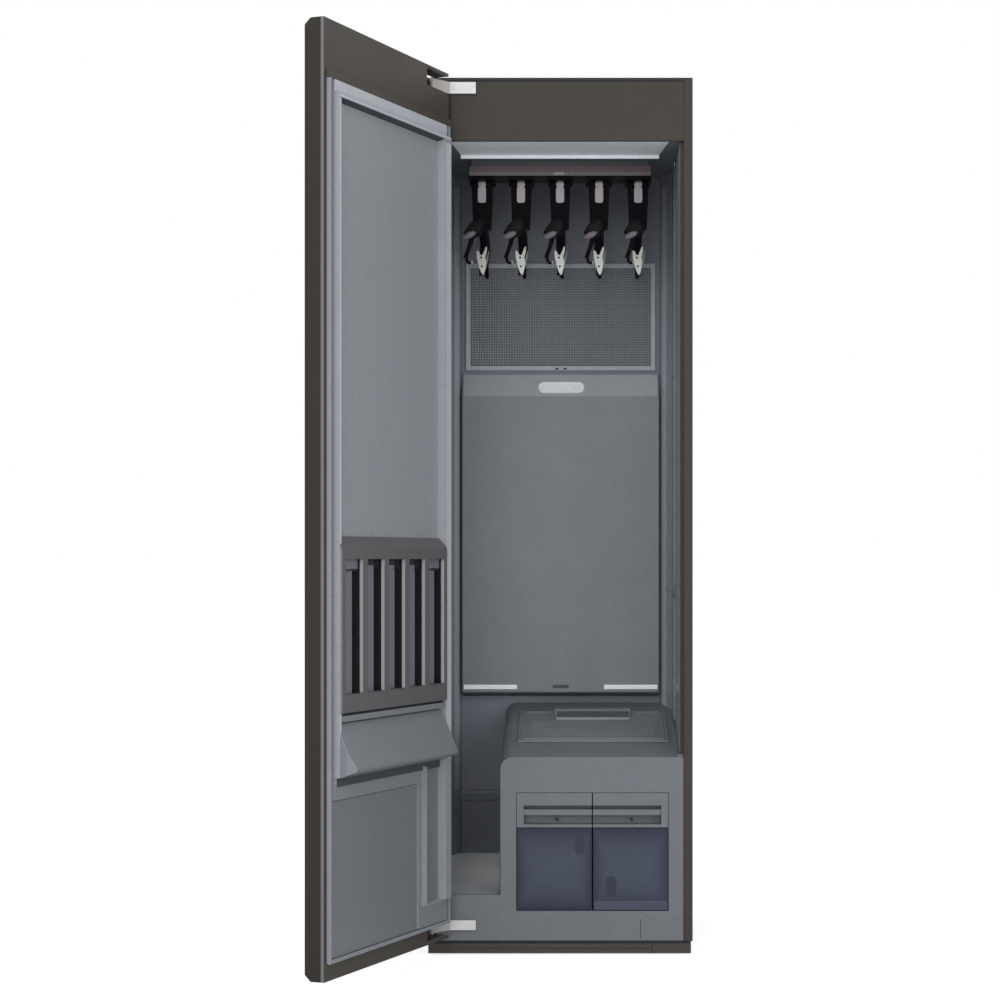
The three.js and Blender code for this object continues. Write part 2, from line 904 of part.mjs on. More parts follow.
function hanger(x) {
  const { neckBottom, tip, pivot, pivotY, jawTop } = clipLayout();
  const rest = railBottom + slotLedge + seat;
  const collarTop = railBottom - seat;
  const collarBottom = collarTop - collarHeight;
  const span = [railFrontY + seat, railFrontY + railDepth - seat];
  const headHalf = slotHeadHalf - running;
  const throatHalf = slotThroatHalf - running;
  const neckY = [hangerY - neckDepth / 2, hangerY + neckDepth / 2];
  const stemY = [hangerY - stemDepth / 2, hangerY + stemDepth / 2];
  const crest = neckBottom + armHalfHeight;
  const neckShape = outline([
    [-neckHalf, collarBottom + overrun],
    [-neckHalf + neckWaist, neckBottom],
    [neckHalf - neckWaist, neckBottom],
    [neckHalf, collarBottom + overrun],
  ]);
  const leafRear = pivotY - clipEarReach / 2;
  const earZ = [pivot - clipEarHalf, pivot + clipEarHalf];
  const geometry = join(
    block([-headHalf, headHalf], span, [rest, rest + slotHeadHeight - seat - running]),
    block([-throatHalf, throatHalf], span, [collarTop - overrun, rest + overrun]),
    block([-collarHalf, collarHalf], span, [collarBottom, collarTop]),
    prismY(neckShape, neckY),
    hangerArms(crest),
    hangerHook(-1, crest),
    hangerHook(1, crest),
    block([-stemHalf, stemHalf], stemY, [jawTop - overrun, crest]),
    block([-stemHalf, stemHalf], [pivotY - clipEarHalf / 2, stemY[1]], earZ),
    block([-jawHalf, jawHalf], [leafRear + seat, leafRear + jawDepth], [tip, jawTop]),
  );
  return geometry.translate(x, 0, 0);
}

// Tapered chrome leaf, forked at the top, with two ears that straddle the boss on the stem.
function clipLeaf(x) {
  const { top, tip, pivot, pivotY } = clipLayout();
  const rear = pivotY - clipEarReach / 2;
  const shape = outline([
    [-clipTipHalf, tip],
    [clipTipHalf, tip],
    [clipTopHalf * clipWaistShare, pivot],
    [clipTopHalf, top],
    [clipForkHalf + clipEar, top],
    [clipForkHalf / 2, top - clipForkDepth],
    [-clipForkHalf / 2, top - clipForkDepth],
    [-clipForkHalf - clipEar, top],
    [-clipTopHalf, top],
    [-clipTopHalf * clipWaistShare, pivot],
  ]);
  const ear = (side) => {
    const inner = stemHalf + seat;
    const span = [side * inner, side * (inner + clipEar)].sort((a, b) => a - b);
    const earZ = [pivot - clipEarHalf, pivot + clipEarHalf];
    return block(span, [rear - clipWall / 2, rear + clipEarReach], earZ);
  };
  return join(prismY(shape, [rear - clipWall, rear]), ear(1), ear(-1)).translate(x, 0, 0);
}

function machineFront() {
  const half = halfWidth - stileWidth - seat;
  const shape = new THREE.Shape();
  shape.moveTo(-half, bodyBottom + seat);
  shape.lineTo(half, bodyBottom + seat);
  shape.lineTo(half, machineHeight);
  shape.lineTo(-machineLeft + machineCorner, machineHeight);
  shape.absarc(
    -machineLeft + machineCorner,
    machineHeight - machineCorner,
    machineCorner,
    Math.PI / 2,
    Math.PI,
    false,
  );
  shape.lineTo(-machineLeft, sillHeight);
  shape.lineTo(-half, sillHeight);
  const bay = block(
    [tankBayLeft, tankBayLeft + tankBayWidth],
    [machineFrontY - overrun, frontBackY + overrun],
    [tankBayBottom, tankBayBottom + tankBayHeight],
  );
  return cut(prismY(shape, [machineFrontY, frontBackY]), bay);
}

// Height of the sloping top above the front edge at a given depth.
function machineRise(y) {
  if (y <= machineBevelY) return frontBevelRise * (y - stileReturn) / frontBevelDepth;
  return frontBevelRise + machineTopRise * (y - machineBevelY) / (machineRearY - machineBevelY);
}

function machineTop() {
  const right = linerHalf - seat;
  const wallBottom = sillHeight + tubRearRise + linerWall + seat;
  const section = (y) => {
    const top = machineHeight + machineRise(y);
    const path = [[right, top]];
    for (let step = 0; step <= cornerSteps; step += 1) {
      const angle = (Math.PI / 2) * (1 + step / cornerSteps);
      path.push([
        -machineLeft + machineCorner + machineCorner * Math.cos(angle),
        top - machineCorner + machineCorner * Math.sin(angle),
      ]);
    }
    path.push([-machineLeft, wallBottom]);
    return strip(path, machineWall).getPoints().map((point) => [point.x, y, point.y]);
  };
  const shell = loft([section(stileReturn), section(machineBevelY), section(machineRearY)], inPlanXZ);
  return cut(shell, cornerSpace(1), filterSpace());
}

// The filter's own frame: X across, Y down the slope towards the back, Z square to the slope.
function alongSlope(geometry) {
  const angle = Math.atan2(machineTopRise, machineRearY - machineBevelY);
  const start = machineHeight + machineRise(filterFrontY);
  return geometry.rotateX(angle).translate(filterLeft, filterFrontY, start);
}

function filterSpace() {
  return alongSlope(block(
    [filterPadInset - running, filterWidth - filterPadInset + running],
    [filterPadInset - running, filterLength - filterPadInset + running],
    [-filterPad, overrun],
  ));
}

function lintFilter() {
  const plate = block([0, filterWidth], [0, filterLength], [seat, seat + filterPlate]);
  const pad = block(
    [filterPadInset, filterWidth - filterPadInset],
    [filterPadInset, filterLength - filterPadInset],
    [-filterPad, seat + filterPlate / 2],
  );
  const handleY = filterLength * filterHandleShare;
  const handleX = (filterWidth - filterHandleWidth) / 2;
  const bar = block(
    [handleX, handleX + filterHandleWidth],
    [handleY - filterHandleDepth / 2, handleY + filterHandleDepth / 2],
    [seat + filterPlate / 2, seat + filterPlate + filterHandleHeight],
  );
  const grip = block(
    [handleX + filterHandleWall, handleX + filterHandleWidth - filterHandleWall],
    [handleY - filterHandleDepth, handleY + filterHandleDepth / 2 - filterHandleWall],
    [seat + filterPlate, seat + filterPlate + filterHandleHeight - filterHandleWall],
  );
  return alongSlope(cut(join(plate, pad, bar), grip));
}

function dressZoneTub() {
  const left = -linerHalf + seat;
  const right = -machineLeft - seat;
  const rear = sillHeight + tubRearRise;
  const path = [
    [linerBackY - seat, rear],
    [linerBackY - tubFlatDepth, rear],
    [stileReturn, sillHeight],
    [stileReturn, sillHeight - tubLip],
  ];
  const span = tubGrilleSpan();
  const slotLow = rear - linerWall + tubGrilleBorder;
  const slotPitch = (span.top - tubGrilleBorder - slotLow + tubGrilleBar) / tubGrilleSlots;
  const slots = Array.from({ length: tubGrilleSlots }, (_, place) => [
    [span.left + tubGrilleBorder, span.right - tubGrilleBorder],
    [slotLow + place * slotPitch, slotLow + (place + 1) * slotPitch - tubGrilleBar],
  ]);
  const wall = windowPlate(
    [span.left, span.right],
    [linerBackY - seat - grilleDepth, linerBackY - seat],
    [rear - linerWall, span.top],
    slots,
  );
  const floor = prismX(strip(path, linerWall), [left, right]);
  const stileCut = block(
    [left - overrun, -linerHalf + seat * 2],
    [0, linerFrontY],
    [0, sillHeight + overrun],
  );
  return cut(join(floor, wall), cornerSpace(-1), stileCut);
}

function tankBay() {
  const right = tankBayLeft + tankBayWidth;
  const top = tankBayBottom + tankBayHeight;
  const rear = machineFrontY + tankDepth + running;
  const outer = block(
    [tankBayLeft - tankWall, right + tankWall],
    [stileReturn, rear + tankWall],
    [tankBayBottom - tankWall, top + tankWall],
  );
  const inner = block([tankBayLeft, right], [0, rear], [tankBayBottom, top]);
  return cut(outer, inner);
}

// Spans of one tank in X, from the bay's width and the gaps between bay, tank and tank.
function tankSpan(place) {
  const clear = tankBayWidth - 2 * running - tankGap;
  const left = tankBayLeft + running + place * (clear / 2 + tankGap);
  return [left, left + clear / 2];
}

function tankBody(place) {
  const [left, right] = tankSpan(place);
  const bottom = tankBayBottom + seat;
  const top = tankBayBottom + tankBayHeight - running - capHeight - seat;
  const rear = machineFrontY + tankDepth;
  const outer = block([left, right], [machineFrontY, rear], [bottom, top]);
  const inner = block(
    [left + tankWall, right - tankWall],
    [machineFrontY + tankWall, rear - tankWall],
    [bottom + tankWall, top + overrun],
  );
  return cut(outer, inner);
}

function tankCap(place) {
  const [left, right] = tankSpan(place);
  const top = tankBayBottom + tankBayHeight - running;
  const bottom = top - capHeight;
  const rear = machineFrontY + tankDepth;
  const grip = [place ? left : left + gripSide, place ? right - gripSide : right];
  const recess = block(
    [grip[0] - (place ? overrun : 0), grip[1] + (place ? 0 : overrun)],
    [0, machineFrontY + gripDepth],
    [bottom + gripBottom, bottom + gripBottom + gripHeight],
  );
  const hollow = block(
    [left + tankWall, right - tankWall],
    [machineFrontY + gripDepth + tankWall, rear - tankWall],
    [bottom - overrun, top - tankWall],
  );
  const bar = block(
    [grip[0] - (place ? 0 : overrun), grip[1] + (place ? overrun : 0)],
    [machineFrontY + gripBarInset, machineFrontY + gripBarInset + gripBarDepth],
    [bottom + gripBottom + gripBarRise, bottom + gripBottom + gripBarRise + gripBarHeight],
  );
  const shell = cut(block([left, right], [machineFrontY, rear], [bottom, top]), recess, hollow);
  return join(shell, bar, gripWeb(place, grip, bottom));
}

// Rib that ties the grip bar to the back of the recess beside the neighbouring tank.
function gripWeb(place, grip, bottom) {
  const edge = place ? grip[0] : grip[1] - tankWall;
  return block(
    [edge, edge + tankWall],
    [machineFrontY + gripBarInset, machineFrontY + gripDepth + tankWall / 2],
    [bottom + gripBottom + gripBarRise, bottom + gripBottom + gripBarRise + gripBarHeight],
  );
}

function compressor() {
  const base = panFloor + seat;
  const dome = compressorRadius * domeShare;
  const profile = [
    [0, base],
    [compressorRadius * domeRimShare, base],
    [compressorRadius, base + dome],
    [compressorRadius, base + compressorHeight - dome],
    [compressorRadius * domeRimShare, base + compressorHeight - dome * (1 - domeRimShare)],
    [0, base + compressorHeight],
  ];
  return spin(profile, boreFaces, compressorX, compressorY);
}

// Finned coil: a spine with fins standing out on both sides.
function heatExchanger() {
  const pitch = (coilWidth - coilFin) / (coilFins - 1);
  const front = [];
  const rear = [];
  for (let fin = 0; fin < coilFins; fin += 1) {
    const from = coilX + fin * pitch;
    const to = from + coilFin;
    front.push([from, coilY], [to, coilY]);
    rear.unshift([to, coilY + coilDepth], [from, coilY + coilDepth]);
    if (fin + 1 < coilFins) {
      const near = coilY + (coilDepth - coilSpine) / 2;
      front.push([to, near], [from + pitch, near]);
      rear.unshift([from + pitch, near + coilSpine], [to, near + coilSpine]);
    }
  }
  return prismZ(outline([...front, ...rear]), [panFloor + seat, panFloor + seat + coilHeight]);
}

// Spiral outline of the blower casing around its shaft.
function scroll(inset) {
  const points = [];
  for (let step = 0; step < blowerSteps; step += 1) {
    const turn = step / (blowerSteps - 1);
    const radius = blowerRadius + blowerGrowth * turn - inset;
    const angle = 2 * Math.PI * turn * (1 - 1 / blowerSteps) + Math.PI / 2;
    points.push([blowerX + radius * Math.cos(angle), blowerZ + radius * Math.sin(angle)]);
  }
  return outline(points);
}

// Passage from the blower through the back wall into the air duct.
function blowerOutlet(alongY) {
  return block(
    [blowerX - outletHalf, blowerX + outletHalf],
    alongY,
    [outletBottom, outletBottom + outletHeight],
  );
}

function blowerHousing() {
  const rear = linerBackY - seat;
  const front = rear - blowerDepth;
  const casing = prismY(scroll(0), [front, rear]);
  const hollow = prismY(scroll(blowerWall), [front - overrun, rear - blowerWall]);
  const motor = cylinder(
    motorRadius,
    motorDepth,
    'y',
    [blowerX, rear - (blowerWall + motorDepth) / 2, blowerZ],
  );
  const shaftLength = blowerDepth - blowerWall;
  const shaft = cylinder(
    shaftRadius,
    shaftLength,
    'y',
    [blowerX, rear - (blowerWall + shaftLength) / 2, blowerZ],
    shaftSides,
  );
  const foot = block(
    [blowerX - outletHalf / 2, blowerX + outletHalf / 2],
    [rear - blowerDepth / 2, rear],
    [panFloor + seat, blowerZ - blowerRadius + blowerWall / 2],
  );
  const outlet = blowerOutlet([rear - blowerWall - overrun, rear + overrun]);
  return join(cut(casing, hollow, outlet), motor, shaft, foot);
}

function blowerImpeller() {
  const rear = linerBackY - seat - blowerWall - motorDepth - running;
  const front = rear - impellerDepth;
  const disc = cylinder(impellerRadius, impellerDisc, 'y', [blowerX, rear - impellerDisc / 2, blowerZ]);
  const hub = cylinder(
    impellerHub,
    impellerDepth,
    'y',
    [blowerX, (front + rear) / 2, blowerZ],
    shaftSides,
  );
  const bore = cylinder(
    shaftRadius + pinPlay,
    impellerDepth + 2 * overrun,
    'y',
    [blowerX, (front + rear) / 2, blowerZ],
    shaftSides,
  );
  const blades = [];
  for (let blade = 0; blade < impellerBlades; blade += 1) {
    const outer = impellerRadius - impellerBlade / 2;
    const geometry = block(
      [outer - impellerBladeLength, outer - impellerBlade / 2],
      [front, rear - impellerDisc / 2],
      [-impellerBlade / 2, impellerBlade / 2],
    );
    geometry.rotateY((2 * Math.PI * blade) / impellerBlades);
    blades.push(geometry.translate(blowerX, 0, blowerZ));
  }
  return cut(join(disc, hub, ...blades), bore);
}

function steamGenerator() {
  const base = panFloor + seat;
  const middle = base + boilerFoot + boilerRadius;
  const drum = cylinder(boilerRadius, boilerLength, 'x', [boilerX, boilerY, middle]);
  const cradle = block(
    [boilerX - boilerLength / 4, boilerX + boilerLength / 4],
    [boilerY - boilerRadius * cradleShare, boilerY + boilerRadius * cradleShare],
    [base, middle - boilerRadius * cradleRiseShare],
  );
  return join(drum, cradle);
}

function waterPump() {
  const base = panFloor + seat;
  const body = cylinder(pumpRadius, pumpLength, 'x', [pumpX, pumpY, base + pumpRadius]);
  const foot = block(
    [pumpX - pumpLength / 2, pumpX + pumpLength / 4],
    [pumpY - pumpRadius * cradleShare, pumpY + pumpRadius * cradleShare],
    [base, base + pumpRadius],
  );
  return join(body, foot);
}

function controlBoard() {
  const base = ceiling + linerWall + seat;
  return block([-boardWidth / 2, boardWidth / 2], [boardY, boardY + boardDepth], [base, base + boardHeight]);
}

function airDuct() {
  const front = linerBackY + linerWall + seat;
  const rear = front + ductDepth;
  const branchFront = railFrontY;
  const branchBottom = ceiling + linerWall + seat;
  const branchTop = branchBottom + ductRise;
  const path = [
    [front, ductBottom],
    [rear, ductBottom],
    [rear, branchTop],
    [branchFront, branchTop],
    [branchFront, branchBottom],
    [front, branchBottom],
  ];
  const inner = [
    [front + ductWall, ductBottom + ductWall],
    [rear - ductWall, ductBottom + ductWall],
    [rear - ductWall, branchTop - ductWall],
    [branchFront + ductWall, branchTop - ductWall],
    [branchFront + ductWall, branchBottom + ductWall],
    [front + ductWall, branchBottom + ductWall],
  ];
  const shell = prismX(outline(path), [-ductHalf, ductHalf]);
  const hollow = prismX(outline(inner), [-ductHalf + ductWall, ductHalf - ductWall]);
  const grilleHole = block(
    [-grilleHalf, grilleHalf],
    [front - overrun, front + ductWall + overrun],
    [grilleBottom, grilleBottom + grilleHeight],
  );
  const passage = airHole([branchBottom - overrun, branchBottom + ductWall + overrun]);
  const inlet = blowerOutlet([front - overrun, front + ductWall + overrun]);
  return cut(shell, hollow, grilleHole, inlet, passage);
}

function cordGland() {
  const middle = cabinetDepth + seat + glandLength / 2;
  const body = cylinder(glandRadius, glandLength, 'y', [glandX, middle, glandZ], shaftSides);
  return cut(body, glandBore());
}

// Hole for the mains cable through the back panel and its gland.
function glandBore() {
  return cylinder(
    glandRadius / 2,
    2 * (sheet + glandLength + overrun),
    'y',
    [glandX, cabinetDepth, glandZ],
    shaftSides,
  );
}

// Vertical span of a hinge plate, which the pocket in the door follows.
function hingeSpan(level) {
  if (level === 'top') {
    return [cabinetHeight - hingeTopRise - hingeTopHeight, cabinetHeight - hingeTopRise];
  }
  return [doorBottom + hingeBottomRise, doorBottom + hingeBottomRise + hingeBottomHeight];
}

function hingeArm(level) {
  const [low, high] = hingeSpan(level);
  const plateLeft = -halfWidth + hingePlateInset;
  const plateX = [plateLeft, plateLeft + hingePlateLength];
  const plate = block(plateX, [-hingePlateDepth - seat, -seat], [low, high]);
  const eye = cylinder(hingeEye, high - low, 'z', [hingeX, hingeY, (low + high) / 2]);
  const pin = cylinder(
    pinRadius,
    high - low + 2 * pinReach,
    'z',
    [hingeX, hingeY, (low + high) / 2],
    shaftSides,
  );
  const start = new THREE.Vector2(hingeX, hingeY);
  const end = new THREE.Vector2(plateLeft + hingeArmHalf, -hingePlateDepth / 2 - seat);
  const along = end.clone().sub(start).normalize();
  const across = new THREE.Vector2(-along.y, along.x).multiplyScalar(hingeArmHalf);
  const corners = [
    start.clone().sub(across),
    end.clone().sub(across),
    end.clone().add(across),
    start.clone().add(across),
  ];
  const link = prismZ(new THREE.Shape(corners), [low, high]);
  const cabinetFace = block(
    [-cabinetWidth, cabinetWidth],
    [-seat, cabinetDepth],
    [0, cabinetHeight + overrun],
  );
  return cut(join(plate, eye, pin, link), cabinetFace);
}

function hingePocket(level) {
  const [low, high] = hingeSpan(level);
  const below = level === 'top' ? pocketBelow : pocketAbove;
  const above = level === 'top' ? pocketAbove : pocketBelow;
  const room = block(
    [-halfWidth - overrun, -halfWidth + pocketLength],
    [doorOuterY, doorInnerY + overrun],
    [low - below, high + above],
  );
  const pinHole = cylinder(
    pinRadius + pinPlay,
    high - low + 2 * (pinReach + Math.max(pocketBelow, pocketAbove)),
    'z',
    [hingeX, hingeY, (low + high) / 2],
    shaftSides,
  );
  return [room, pinHole];
}

function doorPanel() {
  const skin = block(
    [-halfWidth, halfWidth],
    [doorOuterY, doorOuterY + doorSkin],
    [doorBottom + doorSkinInset, cabinetHeight - doorSkinInset],
  );
  return skin;
}

function doorFrame() {
  const profile = outline([
    [frameOuterY, doorBottom + doorChamfer],
    [frameOuterY + doorChamfer, doorBottom],
    [doorInnerY, doorBottom],
    [doorInnerY, cabinetHeight],
    [frameOuterY + doorChamfer, cabinetHeight],
    [frameOuterY, cabinetHeight - doorChamfer],
  ]);
  const window = block(
    [-halfWidth + frameRail, halfWidth - frameRail],
    [frameOuterY - overrun, doorInnerY + overrun],
    [doorBottom + frameBottomRail, cabinetHeight - frameTopRail],
  );
  const slab = prismX(profile, [-halfWidth, halfWidth]);
  return cut(slab, window, ...frameChannels(), ...hingePocket('top'), ...hingePocket('bottom'));
}

// Hollows of the folded door frame behind the outer skin. The metal around the hinge pockets stays whole.
function frameChannels() {
  const depth = [frameOuterY - overrun, doorInnerY - sheet];
  const solidEnd = -halfWidth + pocketLength + hingeBlock;
  const low = doorBottom + frameBottomRail;
  const high = cabinetHeight - frameTopRail;
  return [
    block([solidEnd, halfWidth - sheet], depth, [high + sheet, cabinetHeight - doorChamfer - sheet]),
    block([solidEnd, halfWidth - sheet], depth, [doorBottom + doorChamfer + sheet, low - sheet]),
    block([halfWidth - frameRail + sheet, halfWidth - sheet], depth, [low - overrun, high + overrun]),
    block([-halfWidth + sheet, -halfWidth + frameRail - sheet], depth, [low, high]),
  ];
}

function doorCore() {
  return block(
    [-halfWidth + frameRail + seat, halfWidth - frameRail - seat],
    [frameOuterY, frameOuterY + coreDepth],
    [doorBottom + frameBottomRail + seat, cabinetHeight - frameTopRail - seat],
  );
}

// The liner is a low flange with a raised rim that stands into the cabinet around a shallow recess. Both
// narrow beside the machine compartment.
function doorLiner() {
  const flange = (spread) => [
    [-plugHalf - spread, plugBottom - spread],
    [-columnInner + spread, plugBottom - spread],
    [-columnInner + spread, plugStep - spread],
    [plugHalf + spread, plugStep - spread],
    [plugHalf + spread, plugTop + spread],
    [-plugHalf - spread, plugTop + spread],
  ];
  const columnEdge = -columnInner - columnRim;
  const rim = (spread) => [
    [-plugHalf - spread, plugBottom + plugFootGap - spread],
    [columnEdge + columnRise + spread, plugBottom + plugFootGap - spread],
    [columnEdge + columnRise + spread, plugStep + plugStepGap - spread],
    [plugHalf + spread, plugStep + plugStepGap - spread],
    [plugHalf + spread, plugTop - plugHeadGap + spread],
    [-plugHalf - spread, plugTop - plugHeadGap + spread],
  ];
  const recess = (shrink) => [
    [-plugHalf + rimHinge + shrink, plugBottom + rimBottom + shrink],
    [columnEdge - shrink, plugBottom + rimBottom + shrink],
    [columnEdge - shrink, plugStep + plugStepRim + shrink],
    [plugHalf - rimFree - shrink, plugStep + plugStepRim + shrink],
    [plugHalf - rimFree - shrink, plugTop - rimTop - shrink],
    [-plugHalf + rimHinge + shrink, plugTop - rimTop - shrink],
  ];
  const ring = (points, w) => points.map(([x, z]) => [x, doorInnerY + w, z]);
  const slope = recessDraft / (plugHeight - plugFloor);
  const base = loft([ring(flange(0), seat), ring(flange(-plugDraft / 2), plugFlange)], inPlanXZ);
  const raised = loft([ring(rim(0), seat + plugFloor), ring(rim(-plugDraft), plugHeight)], inPlanXZ);
  const hollow = loft([
    ring(recess(recessDraft), seat + plugFloor),
    ring(recess(-slope * overrun), plugHeight + overrun),
  ], inPlanXZ);
  return cut(join(base, raised), hollow);
}

function doorLowerPanel() {
  return block(
    [-columnInner + seat, halfWidth - lowerPanelFree - gasketWidth],
    [doorInnerY + seat, doorInnerY + seat + lowerPanelWall],
    [plugBottom, plugStep - seat],
  );
}

function doorGasket() {
  const outer = halfWidth - gasketSide;
  const inner = outer - gasketWidth;
  const top = plugTop + gasketTopGap + gasketWidth;
  const window = [[-inner, inner], [gasketBottom + gasketWidth, top - gasketWidth]];
  return windowPlate(
    [-outer, outer],
    [doorInnerY + seat, doorInnerY + seat + gasketHeight],
    [gasketBottom, top],
    [window],
  );
}

// Span of rack and tray in X, from beside the hinge side rim to just short of the free edge's liner wall.
function rackSpan() {
  return [-plugHalf + rimHinge + recessDraft + seat, halfWidth - rackFree];
}

// Openings of the rack from its free side to its hinge side, each given by its two ends in X.
function rackOpenings() {
  const [left, right] = rackSpan();
  const pitch = (right - left - 2 * rackStile + rackBar) / rackWindows;
  return Array.from({ length: rackWindows }, (_, place) => {
    const end = right - rackStile - place * pitch;
    return [end - pitch + rackBar, end];
  });
}

// Room over the liner's rim on the free side, which rack and tray leave to it.
function rimSpace() {
  return block(
    [plugHalf - rimFree - recessDraft - seat, halfWidth],
    [doorInnerY - overrun, doorInnerY + plugHeight + seat],
    [doorBottom, cabinetHeight],
  );
}

function rackFrame() {
  const span = rackSpan();
  const front = doorInnerY + rackFront;
  const rear = front - rackFace - rackMid;
  const floor = doorInnerY + 2 * seat + plugFloor;
  const bandTop = rackTop - rackCapDrop;
  const windows = rackOpenings().map((opening) => [
    opening,
    [rackBottom + rackRail, bandTop - rackCapBand],
  ]);
  const face = windowPlate(span, [rear, front], [rackBottom, bandTop], windows);
  const cap = outline([
    [floor, rackTop],
    [floor, bandTop],
    [rear, bandTop],
    [rear, bandTop - overrun],
    [front, bandTop - overrun],
    [front, bandTop],
    [floor + rackCapLedge, rackTop],
  ]);
  return cut(join(face, prismX(cap, span)), rimSpace());
}

// Board behind the rack's bars, with one dark slot beside each bar.
function rackBack() {
  const rear = doorInnerY + 2 * seat + plugFloor;
  const front = doorInnerY + rackFront - rackFace - rackMid - seat;
  const bandTop = rackTop - rackCapDrop;
  const windows = rackOpenings().map(([left, right]) => {
    const start = left + (right - left) * (1 - rackSlotShare);
    return [[start, start + rackSlot], [rackBottom + rackRail, bandTop - rackCapBand - rackSlotDrop]];
  });
  const right = plugHalf - rimFree - recessDraft - seat;
  return windowPlate([rackSpan()[0], right], [rear, front], [rackBottom, bandTop - seat], windows);
}

function rackTray() {
  const rear = doorInnerY + 2 * seat + plugFloor;
  const profile = outline([
    [rear, trayTop],
    [rear, trayBottom],
    [doorInnerY + trayUnder, trayBottom],
    [doorInnerY + trayReach - trayNoseDraft, trayBottom + trayNose - trayNoseLip],
    [doorInnerY + trayReach, trayBottom + trayNose],
    [rear + trayLedge, trayTop],
  ]);
  const [left, right] = rackSpan();
  const body = prismX(profile, [left, right]);
  const corner = prismZ(outline([
    [right + overrun, doorInnerY + trayReach - trayCorner - overrun],
    [right + overrun, doorInnerY + trayReach + overrun],
    [right - trayCorner - overrun, doorInnerY + trayReach + overrun],
  ]), [doorBottom, cabinetHeight]);
  return cut(body, rimSpace(), corner);
}

function addShell(group) {
  addPiece(group, 'side_panel_left', sidePanel(-1), 'bodySteel');
  addPiece(group, 'side_panel_right', sidePanel(1), 'bodySteel');
  addPiece(group, 'top_panel', topPanel(), 'bodySteel');
  addPiece(group, 'back_panel', backPanel(), 'galvanised');
  addPiece(group, 'base_pan', basePan(), 'galvanised');
  addPiece(group, 'header_panel', headerPanel(), 'bodySteel');
  addPiece(group, 'plinth', plinth(), 'bodySteel');
  const footX = halfWidth - footInset;
  const footRearY = cabinetDepth - footRearInset;
  addPiece(group, 'foot_front_left', levellingFoot(-footX, footFrontY), 'darkPlastic');
  addPiece(group, 'foot_front_right', levellingFoot(footX, footFrontY), 'darkPlastic');
  addPiece(group, 'foot_rear_left', levellingFoot(-footX, footRearY), 'darkPlastic');
  addPiece(group, 'foot_rear_right', levellingFoot(footX, footRearY), 'darkPlastic');
  addPiece(group, 'cord_gland', cordGland(), 'darkPlastic');
}

function addLiner(group) {
  addPiece(group, 'liner_left', linerSide(-1), 'linerPlastic');
  addPiece(group, 'liner_right', linerSide(1), 'linerPlastic');
  addPiece(group, 'liner_back', linerBack(), 'linerPlastic');
  addPiece(group, 'liner_ceiling', linerCeiling(), 'linerPlastic');
  addPiece(group, 'ceiling_light', ceilingLight(), 'lightDiffuser');
  addPiece(group, 'back_grille', backGrille(), 'grillePlastic');
  addPiece(group, 'back_cover', backCover(), 'coverPlastic');
  addPiece(group, 'light_strip_left', lightStrip(-1), 'lightDiffuser');
  addPiece(group, 'light_strip_right', lightStrip(1), 'lightDiffuser');
  addPiece(group, 'dress_zone_tub', dressZoneTub(), 'machinePlastic');
}

function addHangers(group) {
  addPiece(group, 'hanger_rail', hangerRail(), 'railPlastic');
  hangerPlaces().forEach((x, place) => {
    addPiece(group, `hanger_${place + 1}`, hanger(x), 'hangerPlastic');
    addPiece(group, `clip_${place + 1}`, clipLeaf(x), 'chrome');
  });
}

function addMachine(group) {
  addPiece(group, 'machine_front', machineFront(), 'machinePlastic');
  addPiece(group, 'machine_top', machineTop(), 'machinePlastic');
  addPiece(group, 'lint_filter', lintFilter(), 'machinePlastic');
  addPiece(group, 'tank_bay', tankBay(), 'darkPlastic');
  ['supply_tank', 'drain_tank'].forEach((name, place) => {
    addPiece(group, name, tankBody(place), 'tankPlastic');
    addPiece(group, `${name}_cap`, tankCap(place), 'machinePlastic');
  });
  addPiece(group, 'compressor', compressor(), 'blackEnamel');
  addPiece(group, 'heat_exchanger', heatExchanger(), 'aluminium');
  addPiece(group, 'blower_housing', blowerHousing(), 'darkPlastic');
  addPiece(group, 'blower_impeller', blowerImpeller(), 'darkPlastic');
  addPiece(group, 'steam_generator', steamGenerator(), 'aluminium');
  addPiece(group, 'water_pump', waterPump(), 'darkPlastic');
  addPiece(group, 'control_board', controlBoard(), 'boardGreen');
  addPiece(group, 'air_duct', airDuct(), 'darkPlastic');
}

function buildDoor() {
  const swing = new THREE.Group();
  swing.position.set(hingeX, hingeY, 0);
  swing.rotation.z = -THREE.MathUtils.degToRad(doorOpening);
  const leaf = new THREE.Group();
  leaf.position.set(-hingeX, -hingeY, 0);
  swing.add(leaf);
  addPiece(leaf, 'door_panel', doorPanel(), 'doorSteel');
  addPiece(leaf, 'door_frame', doorFrame(), 'doorSteel');
  addPiece(leaf, 'door_core', doorCore(), 'foam');
  addPiece(leaf, 'door_liner', doorLiner(), 'doorPlastic');
  addPiece(leaf, 'door_lower_panel', doorLowerPanel(), 'doorPlastic');
  addPiece(leaf, 'door_gasket', doorGasket(), 'gasketRubber');
  addPiece(leaf, 'rack_frame', rackFrame(), 'rackPlastic');
  addPiece(leaf, 'rack_back', rackBack(), 'doorPlastic');
  addPiece(leaf, 'rack_tray', rackTray(), 'doorPlastic');
  return swing;
}

function buildCabinet() {
  const cabinet = new THREE.Group();
  addShell(cabinet);
  addLiner(cabinet);
  addHangers(cabinet);
  addMachine(cabinet);
  addPiece(cabinet, 'hinge_arm_top', hingeArm('top'), 'chrome');
  addPiece(cabinet, 'hinge_arm_bottom', hingeArm('bottom'), 'chrome');
  cabinet.add(buildDoor());
  return cabinet;
}

